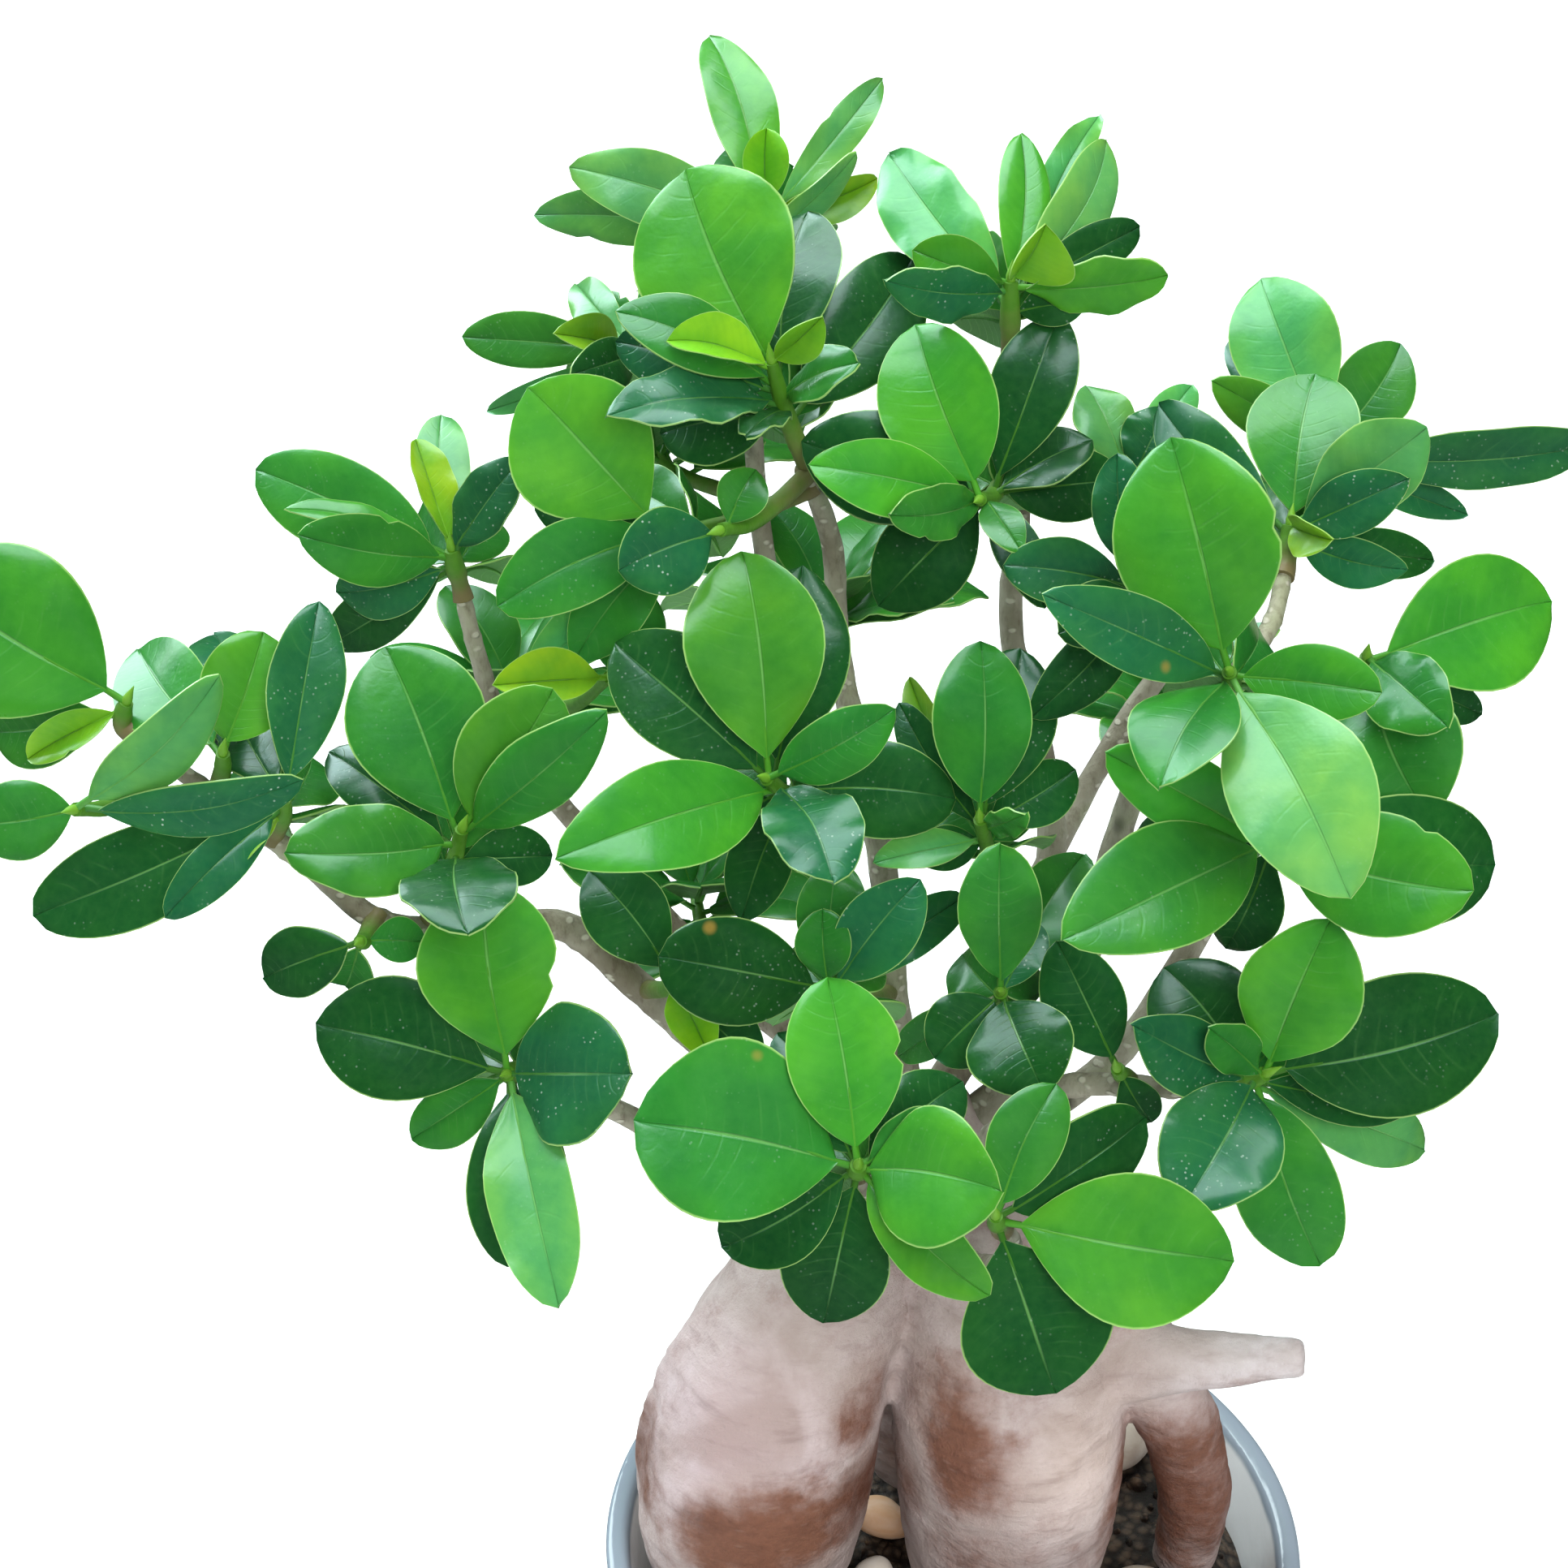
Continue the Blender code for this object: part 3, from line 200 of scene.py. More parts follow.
# How much one leaf differs from another: the least and the most of each of its small faults.
SKEW_CHANGE = (-0.16, 0.06)
FULLNESS_CHANGE = (-0.17, 0.0)
LEAN = (-0.07, 0.07)  # of the midrib towards one margin, as a share of the half width
SWEEP = (-0.035, 0.035)  # sideways bow, as a share of the length
TWIST = (-0.14, 0.14)  # in radians, from the base to the tip
CURL = (0.0, 0.35)  # of the outer half, downwards
FOLD_CHANGE = (0.9, 1.5)
WAVE_COUNTS = (1, 2, 2, 3)
WAVE_CHANGE = (0.4, 1.3)
CROWN = (0.02, 0.22)  # how far the margins bend down again
NOTCH_PLACE = (0.35, 0.85)
NOTCH_DEPTH = (0.10, 0.25)
BRIGHTNESS = (0.84, 1.16)
YELLOWNESS = (0.8, 1.3)
DUST_CHANGE = (0.4, 1.2)
SEEDS = (0.0, 40.0)

# Roots: places (across, back, up) and radius. Across and back are shares of the soil's radius,
# up is a share of the height from the soil to the trunk top.
ROOTS = {
    "left_bulb": (
        (-0.60, -0.06, -0.20, 0.20),
        (-0.645, -0.06, 0.15, 0.345),
        (-0.58, -0.04, 0.45, 0.345),
        (-0.43, 0.04, 0.69, 0.28),
        (-0.25, 0.16, 0.86, 0.20),
    ),
    "middle_bulb": (
        (0.15, -0.04, -0.25, 0.22),
        (0.17, -0.04, 0.17, 0.33),
        (0.15, -0.03, 0.49, 0.35),
        (0.07, 0.08, 0.74, 0.27),
        (-0.08, 0.24, 0.90, 0.20),
        (-0.14, 0.33, 1.0, 0.165),
    ),
    "back_bulb": (
        (-0.05, 0.55, -0.20, 0.16),
        (-0.06, 0.48, 0.19, 0.25),
        (-0.10, 0.36, 0.52, 0.27),
        (-0.12, 0.30, 0.80, 0.20),
    ),
    "right_root": (
        (0.78, 0.03, -0.15, 0.08),
        (0.77, 0.02, 0.15, 0.11),
        (0.67, 0.0, 0.42, 0.125),
        (0.44, 0.03, 0.65, 0.15),
        (0.15, 0.14, 0.80, 0.17),
    ),
    "cut_stub": (
        (0.22, -0.02, 0.52, 0.16),
        (0.50, -0.08, 0.59, 0.12),
        (0.80, -0.13, 0.62, 0.08),
        (1.02, -0.15, 0.64, 0.045),
    ),
    "left_aerial_root": (
        (-0.93, 0.02, -0.08, 0.03),
        (-0.985, 0.0, 0.25, 0.032),
        (-0.91, -0.03, 0.50, 0.034),
        (-0.74, -0.02, 0.69, 0.036),
        (-0.50, 0.06, 0.78, 0.05),
    ),
}

# Branches: where each leaves the trunk (a share of the way from the soil to the trunk top),
# then places on the sheet (across, up, out) with a radius.
BRANCHES = {
    "left": (0.88, (-28, -66, -42, 3.9), (-40, -60, -38, 3.7), (-53, -52, -35, 3.5),
             (-67, -40, -28, 3.3), (-82, -28, -20, 3.1), (-100, -29, -8, 2.7), (-118, -27, 0, 2.4),
             (-132, -16, 2, 2.2), (-143, -8, 4, 2.0), (-158, 3, 5, 1.7), (-168, 10, 6, 1.5)),
    "middle": (0.79, (-17, -44, -42, 3.4), (-19, -17, -36, 3.0), (-24, 6, -32, 2.7),
               (-28, 28, -28, 2.4), (-29, 46, -20, 2.2), (-34, 62, -4, 1.9)),
    "right_top": (0.93, (6, -40, -50, 3.4), (14, -12, -50, 3.1), (10, 14, -44, 2.8),
                  (6, 32, -36, 2.5), (8, 60, -24, 2.2), (6, 86, -4, 1.8)),
    "right_front": (0.86, (16, -48, -46, 3.2), (26, -14, -40, 2.9), (32, 2, -28, 2.6),
                    (42, 13, -4, 2.3), (49, 20, 16, 2.1), (57, 31, 12, 1.8), (60, 42, 6, 1.6)),
    "right_side": (0.80, (28, -52, -56, 3.0), (52, -14, -40, 2.6), (68, 8, -16, 2.1),
                   (75, 20, 0, 1.7)),
    "low_right": (0.74, (6, -66, -26, 2.7), (15, -60, -8, 2.5), (28, -59, 2, 2.2),
                  (38, -60, 7, 1.9), (45, -59, 9, 1.7)),
    "low_left": (0.76, (-44, -78, -38, 2.8), (-64, -68, -24, 2.5), (-82, -59, -6, 2.1),
                 (-90, -56, 6, 1.7)),
    "front_left": (0.70, (-20, -92, -30, 2.8), (-23, -88, 0, 2.4), (-24, -80, 24, 2.0),
                   (-24, -76, 38, 1.7)),
    "front_right": (0.68, (0, -95, -30, 2.6), (6, -94, 0, 2.3), (6, -90, 18, 2.0),
                    (4, -87, 30, 1.7)),
    "left_high": (0.92, (-44, -44, -68, 3.0), (-72, -16, -64, 2.6), (-92, 8, -54, 2.2),
                  (-99, 26, -44, 1.9), (-102, 38, -38, 1.7)),
    "back": (0.87, (-22, -46, -82, 3.2), (-32, -6, -92, 2.8), (-42, 42, -86, 2.4),
             (-45, 80, -72, 2.0), (-42, 99, -59, 1.7)),
    "back_right": (0.90, (4, -34, -78, 3.0), (26, 8, -86, 2.6), (48, 38, -72, 2.2),
                   (62, 54, -56, 1.9), (66, 60, -48, 1.6)),
}

# Leafy shoots: the branch each grows from, the place of its bud, and its leaves, youngest
# first: the place of the leaf's tip, its width, its turn about its own length and its age.
SHOOTS = {
    "crown_top": ("middle", (-41, 83, 14), (
        (-31, 92, 22, 8, 20, "y"), (-61, 88, 23, 10, 40, "y"), (-58, 121, 8, 33, 0, "l"),
        (-34, 113, -4, 21, -10, "d"), (-71, 94, 20, 15, 20, "m"), (-72, 87, 12, 14, 10, "t"),
        (-24, 83, 25, 12, -50, "m"), (-73, 74, 27, 15, 50, "t"), (-46, 69, 24, 9, 50, "d"),
        (-63, 69, 4, 17, 15, "d"), (-13, 104, -18, 20, 0, "d"))),
    "crown_middle": ("right_top", (0, 56, 10), (
        (-13, 91, 8, 23, 0, "l"), (-33, 63, 21, 15, 10, "l"), (8, 46, 20, 8, -20, "m"),
        (-18, 53, 20, 11, -15, "m"), (-35, 68, 6, 22, 10, "d"), (-20, 35, 2, 19, 0, "d"),
        (13, 35, 8, 10, -20, "d"), (22, 68, 0, 14, -35, "d"), (15, 93, -14, 17, 0, "d"),
        (28, 60, -6, 15, 0, "d"))),
    "crown_top_right": ("right_top", (6, 99, 4), (
        (13, 110, 14, 14, 40, "y"), (-13, 105, 8, 12, 0, "l"), (37, 100, 8, 13, 10, "l"),
        (-18, 98, 16, 12, -30, "t"), (32, 110, -4, 10, 0, "d"), (8, 128, -8, 11, 10, "l"),
        (27, 127, -10, 14, 0, "p"), (24, 133, -20, 8, 0, "p"), (-18, 124, -20, 18, 0, "p"),
        (21, 95, 2, 9, 0, "d"))),
    "back_top": ("back", (-42, 113, -48), (
        (-42, 129, -44, 10, 0, "y"), (-20, 119, -42, 9, 0, "y"), (-19, 139, -58, 9, 0, "p"),
        (-53, 149, -64, 15, 15, "l"), (-81, 122, -48, 16, 10, "p"), (-88, 112, -70, 13, 0, "p"),
        (-24, 123, -38, 8, 40, "p"), (-50, 126, -80, 12, 0, "m"))),
    "left_top": ("back", (-70, 86, -34), (
        (-83, 89, -22, 9, 25, "y"), (-102, 88, -42, 12, 0, "m"), (-80, 99, -54, 10, 0, "p"),
        (-79, 81, -14, 11, 0, "d"), (-98, 73, -50, 6, 0, "p"), (-60, 101, -46, 10, 0, "p"))),
    "left_middle": ("middle", (-63, 50, 6), (
        (-89, 78, 14, 29, 0, "l"), (-95, 35, 14, 17, 10, "m"), (-88, 56, 0, 13, 0, "d"),
        (-80, 24, -2, 14, 0, "m"), (-89, 22, -12, 13, 0, "p"))),
    "left_inner": ("left_high", (-73, 21, -4), (
        (-95, 20, 10, 11, 15, "y"), (-66, 39, -8, 16, 0, "m"))),
    "left_gloss": ("middle", (-51, 50, 18), (
        (-71, 42, 24, 17, -10, "t"), (-44, 62, 16, 10, 0, "m"))),
    "left_high": ("left_high", (-104, 46, -32), (
        (-111, 68, -36, 9, 25, "y"), (-106, 73, -46, 12, 0, "p"), (-91, 64, -22, 13, -25, "t"),
        (-143, 62, -44, 20, 0, "m"), (-134, 49, -26, 15, 10, "m"), (-136, 56, -22, 8, 50, "l"),
        (-127, 37, -42, 14, -25, "t"), (-129, 27, -50, 13, 0, "d"))),
    "left_front": ("left", (-102, -9, 20), (
        (-84, 18, 28, 21, -15, "l"), (-74, 13, 36, 15, 15, "m"), (-117, 27, 14, 27, 0, "m"),
        (-136, -13, 34, 18, 10, "m"), (-129, 7, 4, 13, 0, "d"), (-101, -28, 42, 22, 0, "d"),
        (-84, -14, 10, 12, 0, "d"), (-90, 14, 6, 18, 0, "m"))),
    "left_twig_middle": ("left", (-137, -3, 16), (
        (-130, 36, 6, 15, 0, "t"), (-147, 16, -6, 14, 0, "d"), (-160, -26, 18, 10, -30, "t"),
        (-187, -26, 10, 19, 10, "d"), (-150, -19, 20, 7, 20, "y"))),
    "left_twig_foot": ("left", (-122, -31, 14), (
        (-141, -38, 4, 14, 0, "d"), (-126, -41, -16, 14, 0, "m"), (-109, -31, 8, 9, 0, "m"))),
    "far_left_middle": ("left", (-149, 6, 15), (
        (-141, 30, 14, 18, 0, "l"), (-166, 27, -8, 19, 0, "m"), (-151, 32, -20, 14, 0, "t"))),
    "far_left_tip": ("left", (-168, 16, 10), (
        (-207, 41, 16, 34, 0, "l"), (-188, 5, 8, 8, 15, "y"), (-196, 10, -4, 15, 0, "m"))),
    "far_left_front": ("left", (-178, -5, 36), (
        (-150, 19, 52, 13, 25, "p"), (-134, -1, 44, 12, 20, "t"), (-200, -8, 38, 15, 0, "m"))),
    "centre": ("middle", (-42, 1, 16), (
        (-17, 14, 24, 13, 15, "m"), (-47, 46, 16, 27, 0, "l"), (-72, 28, 10, 22, 0, "d"),
        (-35, 43, 0, 21, 0, "d"), (-29, -18, 34, 19, -20, "t"), (-81, -13, 44, 21, 10, "l"),
        (-5, -3, 14, 19, 0, "d"), (-71, -15, 16, 10, 0, "d"), (-47, -27, 4, 13, 0, "d"))),
    "centre_left": ("left", (-60, -38, -6), (
        (-77, -17, -8, 17, 0, "d"), (-53, -54, 2, 10, 0, "y"), (-43, -56, -6, 13, 0, "d"))),
    "centre_low": ("middle", (-30, -40, 10), (
        (-31, -25, 14, 11, 0, "m"), (-63, -34, 14, 21, 0, "d"), (-12, -19, 14, 15, 0, "t"),
        (-28, -15, 2, 14, 0, "m"), (-3, -22, -8, 10, 0, "t"))),
    "lower_left": ("low_left", (-93, -57, 14), (
        (-98, -19, 16, 27, 0, "l"), (-131, -47, 12, 24, 0, "d"), (-69, -57, 30, 27, 0, "t"),
        (-83, -103, 34, 17, 10, "p"), (-93, -95, 22, 17, 0, "d"), (-112, -70, 8, 12, 0, "m"),
        (-86, -87, 18, 12, -20, "t"), (-72, -48, -2, 10, 0, "d"))),
    "front_left": ("front_left", (-24, -75, 48), (
        (-30, -38, 46, 21, 0, "l"), (-6, -66, 46, 10, 0, "m"), (-40, -49, 36, 14, 0, "d"),
        (-68, -66, 52, 33, 10, "m"), (3, -80, 62, 25, 0, "l"), (1, -101, 56, 13, 20, "l"),
        (-51, -91, 42, 17, 0, "d"), (-31, -107, 38, 20, 0, "d"), (-3, -58, 32, 15, 0, "d"))),
    "front_right": ("front_right", (3, -85, 40), (
        (15, -59, 38, 14, 0, "m"), (33, -66, 30, 18, 0, "d"), (50, -94, 38, 28, 0, "l"),
        (15, -120, 36, 29, 0, "d"))),
    "right_low": ("low_right", (56, -57, 18), (
        (69, -27, 32, 23, 0, "l"), (45, -48, 20, 10, 0, "m"), (102, -45, 12, 27, 0, "d"),
        (40, -83, 36, 23, 0, "t"), (67, -95, 14, 20, 0, "m"), (36, -36, 6, 21, 0, "d"),
        (31, -48, 26, 15, 0, "t"), (88, -62, 4, 11, 0, "d"), (90, -73, -12, 14, 0, "p"))),
    "centre_low_right": ("right_top", (4, -41, 16), (
        (4, -12, 26, 16, 0, "m"), (12, -60, 26, 21, 0, "d"), (-9, -54, 14, 15, 0, "d"),
        (11, -27, 6, 10, 0, "t"), (21, -13, 4, 14, 0, "m"), (-17, -54, -6, 9, 0, "m"))),
    "low_twig": ("low_right", (27, -56, 12), (
        (15, -31, 14, 16, 0, "d"), (34, -67, 6, 9, 0, "d"))),
    "centre_right": ("right_top", (0, -7, 16), (
        (0, 28, 20, 19, 0, "m"), (8, 27, 8, 19, 0, "d"), (19, 3, 12, 12, 0, "d"),
        (9, -6, 24, 7, 30, "m"), (-14, 21, 0, 8, 0, "y"), (-16, 16, 6, 9, 0, "d"),
        (-21, -15, 4, 8, 25, "p"), (-13, -14, 8, 9, 0, "d"), (15, -15, -32, 14, 0, "p"))),
    "right_middle": ("right_side", (57, -12, 26), (
        (97, -21, 44, 23, 0, "l"), (25, 6, 34, 15, 0, "l"), (17, -30, 48, 23, 10, "m"),
        (103, -16, 14, 25, 0, "d"), (48, -33, 10, 14, 0, "d"), (30, -9, 0, 12, 0, "d"))),
    "right_front": ("right_front", (49, 22, 40), (
        (37, 68, 46, 31, 0, "l"), (72, -21, 62, 26, 0, "p"), (79, 18, 50, 14, 0, "l"),
        (35, 1, 54, 20, 0, "m"), (13, 37, 52, 14, 0, "t"))),
    "right_inner": ("right_front", (30, 40, 16), (
        (27, 65, 22, 11, 0, "t"), (5, 43, 20, 13, 0, "t"), (16, 30, 22, 13, 0, "d"),
        (10, 13, 16, 12, 0, "d"))),
    "right_side": ("right_side", (76, 25, 10), (
        (91, 12, 28, 16, 0, "m"), (113, 36, -6, 27, 0, "l"), (88, -6, 18, 26, 0, "m"),
        (100, 13, -8, 9, 0, "d"))),
    "right_high": ("right_front", (61, 51, 6), (
        (69, 48, 14, 8, 25, "y"), (88, 70, 16, 18, 15, "p"), (66, 81, -4, 22, 0, "m"),
        (84, 60, 20, 12, 0, "t"), (35, 75, -6, 14, 0, "t"), (84, 42, 12, 10, 15, "t"),
        (90, 44, -6, 10, 0, "d"))),
    "right_back": ("back_right", (68, 66, -38), (
        (55, 100, -44, 23, 0, "p"), (46, 79, -24, 11, 0, "l"), (83, 87, -40, 17, 0, "m"),
        (49, 88, -54, 13, 0, "t"), (122, 67, -44, 13, 15, "t"), (96, 53, -48, 8, 0, "t"))),
    "middle_back": ("back_right", (29, 60, -36), (
        (21, 79, -42, 14, 0, "p"), (37, 74, -38, 13, 0, "t"), (42, 79, -50, 10, 0, "p"))),
}

# Leafy shoots behind the crown: the branch, the bud, and the count and length of the leaves,
# which stand round the stem by the golden angle.
ROUND_SHOOTS = {
    "back_left": ("left_high", (-92, 18, -92), 9, 38),
    "back_low": ("left_high", (-56, -22, -104), 9, 38),
    "back_middle": ("back", (-30, 34, -116), 10, 40),
    "back_crown": ("back", (-66, 66, -96), 9, 36),
    "back_right": ("back_right", (42, 14, -118), 10, 40),
}
GOLDEN_ANGLE = math.radians(137.5)
ROUND_LEAF_WIDTH = 0.62  # share of its length

# Leaves that the longer listed shoots have on their far side: across, up and out from the bud,
# width and turn.
FAR_LEAVES = ((6, 9, -26, 15, 40), (-8, 8, -24, 14, -45), (12, -5, -30, 15, -35),
              (-11, -7, -28, 15, 40))
FEWEST_FOR_FAR_LEAVES = 5  # shorter shoots have none

# Areas of the root skin: centre, radius, how rusty it is from 0 to 1, and its tint. On the left
# bulb's far side and in the crease between the bulbs, the tint and the rust are partly painted
# shade.
ROOT_PATCHES = (
    ((-54.0, -20.0, 138.0), 30.0, 0.05, (1.08, 1.0, 1.06)),
    # Painted shade along the left bulb's far side, with some rust.
    ((-76.0, -8.0, 122.0), 16.0, 0.75, (0.72, 0.62, 0.62)),
    ((-43.0, -31.0, 115.0), 22.0, 1.0, (1.0, 0.92, 0.85)),
    # Painted shade in the crease between the left and middle bulbs, with rust.
    ((-21.0, -16.0, 118.0), 15.0, 0.9, (0.62, 0.52, 0.48)),
    # Painted shade higher up the same crease, with some rust.
    ((-21.0, -20.0, 142.0), 10.0, 0.6, (0.80, 0.72, 0.70)),
    ((-11.0, -27.0, 148.0), 19.0, 0.95, (1.0, 0.92, 0.88)),
    ((0.0, -29.0, 133.0), 16.0, 0.95, (0.95, 0.85, 0.82)),
    ((27.0, -22.0, 130.0), 22.0, 0.08, (1.20, 1.15, 1.08)),
    ((4.0, -28.0, 106.0), 16.0, 0.5, (0.88, 0.84, 0.82)),
    ((62.0, -9.0, 150.0), 24.0, 0.05, (1.12, 1.22, 1.26)),
    ((62.0, -12.0, 139.0), 12.0, 0.45, (0.95, 0.93, 0.93)),
    ((52.0, 2.0, 110.0), 32.0, 0.9, (0.86, 0.76, 0.74)),
)

# Colours of each pebble: its body and its bands.
PEBBLE_COLOURS = {
    "orange": ((0.62, 0.36, 0.20), (0.70, 0.48, 0.34)),
    "pale": ((0.62, 0.53, 0.45), (0.72, 0.66, 0.60)),
    "tan": ((0.58, 0.46, 0.35), (0.66, 0.58, 0.49)),
    "white": ((0.80, 0.83, 0.84), (0.66, 0.69, 0.70)),
    "front": ((0.52, 0.47, 0.42), (0.62, 0.58, 0.53)),
    "right": ((0.42, 0.33, 0.27), (0.52, 0.44, 0.37)),
    "back": ((0.66, 0.55, 0.42), (0.74, 0.66, 0.55)),
    "left": ((0.78, 0.75, 0.69), (0.64, 0.60, 0.54)),
}
WHITE_PEBBLES = ("white", "left")

# The stage, in metres. Each light has its place, its width and height, its share of the light
# power, its colour, and whether glossy surfaces mirror it.
LIGHTS = {
    "window": ((-1.4, 1.2, 1.5), (1.5, 1.3), 0.9, (0.84, 0.98, 1.0), True),
    "overhead": ((-0.2, 0.4, 2.3), (2.0, 1.8), 1.1, (0.93, 0.99, 1.0), True),
    "front_fill": ((0.5, -2.0, 1.7), (1.8, 1.2), 0.9, (1.0, 1.0, 0.98), False),
}
LIGHT_AIM_HEIGHT = 0.24
FLOOR_SIDES = 96
CAMERA_LENS = 60.8
CAMERA_SENSOR = 36.0
CAMERA_RANGE = (0.05, 30.0)


# ---------------------------------------------------------------- layout of the plant


def on_sheet(across, up, out):
    """The place, in millimetres, of a crown place given on the sheet."""
    reach = FOCUS_DISTANCE * INWARD + (across - SHEET_CENTRE.x) * RIGHT + up * UPWARD
    return FOCUS + (1.0 - out / FOCUS_DISTANCE) * reach


def pot_inner_radius(height):
    """Inner radius of the pot at a height."""
    return POT_BASE_RADIUS + POT_SLOPE * height - POT_WALL * math.hypot(1.0, POT_SLOPE)


def ring_faces(rings, sides):
    """Side faces between rings of the same number of points, and a face on each end."""
    faces = [list(reversed(range(sides)))]
    for ring in range(rings - 1):
        low = ring * sides
        for k in range(sides):
            after = (k + 1) % sides
            faces.append([low + k, low + after, low + sides + after, low + sides + k])
    faces.append([(rings - 1) * sides + k for k in range(sides)])
    return faces


def spokes_along(path, sides):
    """The directions round each place of a path, carried along it without twist."""
    last = len(path) - 1
    angles = [math.tau * k / sides for k in range(sides)]
    direction = (path[1] - path[0]).normalized()
    side = direction.orthogonal().normalized()
    for index in range(len(path)):
        ahead = (path[min(index + 1, last)] - path[max(index - 1, 0)]).normalized()
        side = direction.rotation_difference(ahead) @ side
        direction = ahead
        up = direction.cross(side)
        yield [math.cos(angle) * side + math.sin(angle) * up for angle in angles]


def tube(path, radii, sides):
    """Points and faces of a closed tube along a path."""
    verts = [centre + radius * spoke
             for centre, radius, spokes in zip(path, radii, spokes_along(path, sides))
             for spoke in spokes]
    return verts, ring_faces(len(path), sides)


def tree_of(verts, faces):
    return BVHTree.FromPolygons(verts, faces)


def root_paths():
    """Path and radii of each root, from its foot in the soil to the trunk."""
    rise = TRUNK_TOP.z - SOIL_TOP
    paths = {}
    for name, places in ROOTS.items():
        path = []
        radii = []
        for x, y, up, radius in places:
            height = SOIL_TOP + up * rise
            spread = pot_inner_radius(min(height, SOIL_TOP))
            path.append(Vector((x * spread, y * spread, height)))
            radii.append(radius * spread)
        path[0].z = max(path[0].z, POT_FLOOR + 1.0)
        paths[name] = (path, radii)
    top_path, _ = paths["middle_bulb"]
    top_path[-1] = TRUNK_TOP.copy()
    return paths


def seat(trees, outside, inside):
    """Where the line from outside to inside first meets a shape, and the surface's direction."""
    ray = (inside - outside).normalized()
    hits = [tree.ray_cast(outside, ray) for tree in trees]
    hits = [(distance, place, normal) for place, normal, _, distance in hits if place]
    distance, place, normal = min(hits, key=lambda hit: hit[0])
    if normal.dot(ray) > 0:
        normal = -normal
    return place, normal


def keeps_off(trees, path, radii, sides):
    """Whether a tube keeps off the shapes that it grows from."""
    ahead = (path[1] - path[0]).normalized()
    lower = [path[0] - FOOT_CLEARANCE * ahead, *path[1:]]
    wider = tree_of(*tube(lower, [radius + FOOT_CLEARANCE for radius in radii], sides))
    return not any(tree.overlap(wider) for tree in trees)


def branch_paths(roots):
    """Path, radii and search tree of each branch, which starts at the trunk's surface."""
    trunk_trees = [tree_of(*tube(path, radii, ROOT_SIDES)) for path, radii in roots.values()]
    middle = Vector((0.0, TRUNK_FOOT_BACK, SOIL_TOP))
    paths = {}
    for name, (share, *places) in BRANCHES.items():
        onward = [on_sheet(*place[:3]) for place in places]
        radii = [place[3] for place in places]
        start, normal = seat(trunk_trees, onward[0], middle.lerp(TRUNK_TOP, share))
        radii = [radii[0], radii[0], *radii]
        for step in range(FOOT_LIFTS):
            foot = start + (GAP + step * FOOT_LIFT) * normal
            path = [foot, foot + radii[0] * normal, *onward]
            if keeps_off(trunk_trees, path, radii, BRANCH_SIDES):
                break
        paths[name] = (path, radii, tree_of(*tube(path, radii, BRANCH_SIDES)))
    return paths


class Leaf:
    """A blade from its base on the stem to its tip, facing the focus unless it is turned."""

    def __init__(self, base, tip, width, turn, age, faces_to=None):
        self.base = base
        self.tip = tip
        self.width = width
        self.turn = turn
        self.age = age
        self.faces_to = faces_to

    def moved(self, swing, turn, share):
        """The same leaf with its tip swung out, turned a little more, and made smaller."""
        sight = (FOCUS - self.tip).normalized()
        tip = self.base + share * (self.tip + swing * sight - self.base)
        return Leaf(self.base, tip, share * self.width, self.turn + turn, self.age, self.faces_to)

    def frame(self):
        along = self.tip - self.base
        length = along.length
        along.normalize()
        towards = self.faces_to or (FOCUS - self.base).normalized()
        face = (towards - towards.dot(along) * along).normalized()
        face.rotate(Quaternion(along, math.radians(self.turn)))
        return along, along.cross(face), face, length

    def half_width(self, share):
        blade = max(0.0, (share - PETIOLE_SHARE) / (1.0 - PETIOLE_SHARE))
        outline = 0.0
        if 0.0 < blade < 1.0:
            outline = math.sin(math.pi * blade**OUTLINE_SKEW) ** OUTLINE_FULLNESS
        petiole = PETIOLE_HALF_WIDTH if share < 0.5 else 0.0
        return max(petiole, 0.5 * self.width * outline)

    def shape(self, grow=0.0):
        """Points and faces of the solid model's blade. A bigger one, which keeps off its
        neighbours, has lower edges as well."""
        along, side, face, length = self.frame()
        verts = []
        for share in LEAF_ROWS[:-1]:
            half = self.half_width(share)
            bow = 4.0 * BOW[self.age] * length * share * (1.0 - share)
            middle = self.base + share * length * along + bow * face
            lift = FOLD[self.age] * (half - PETIOLE_HALF_WIDTH)
            thick = 0.5 * LEAF_THICKNESS + grow
            wide = half + grow
            verts.append(middle + wide * side + (lift + grow) * face)
            verts.append(middle - wide * side + (lift + grow) * face)
            if grow:
                verts.append(middle - wide * side + (lift - grow) * face)
            verts.append(middle - thick * face)
            if grow:
                verts.append(middle + wide * side + (lift - grow) * face)
        verts.append(self.tip + grow * along)
        rows = len(LEAF_ROWS) - 1
        sides = len(verts) // rows
        faces = ring_faces(rows, sides)[:-1]
        last = sides * (rows - 1)
        for k in range(sides):
            faces.append([last + k, last + (k + 1) % sides, sides * rows])
        return verts, faces


class Crowd:
    """What has been placed so far, to find clear space for the next leaf."""

    def __init__(self):
        self.low = np.empty((0, 3))
        self.high = np.empty((0, 3))
        self.trees = []
        self.owners = []

    @staticmethod
    def box_of(verts):
        points = np.array([tuple(vert) for vert in verts])
        return points.min(axis=0), points.max(axis=0)

    def add(self, owner, verts, faces):
        low, high = self.box_of(verts)
        self.low = np.vstack([self.low, low])
        self.high = np.vstack([self.high, high])
        self.trees.append(tree_of(verts, faces))
        self.owners.append(owner)

    def clear(self, owner, verts, faces):
        """Whether a shape keeps off everything of other owners."""
        low, high = self.box_of(verts)
        near = np.all((self.low <= high) & (self.high >= low), axis=1)
        tree = tree_of(verts, faces)
        for index in np.nonzero(near)[0]:
            if self.owners[index] != owner and self.trees[index].overlap(tree):
                return False
        return True


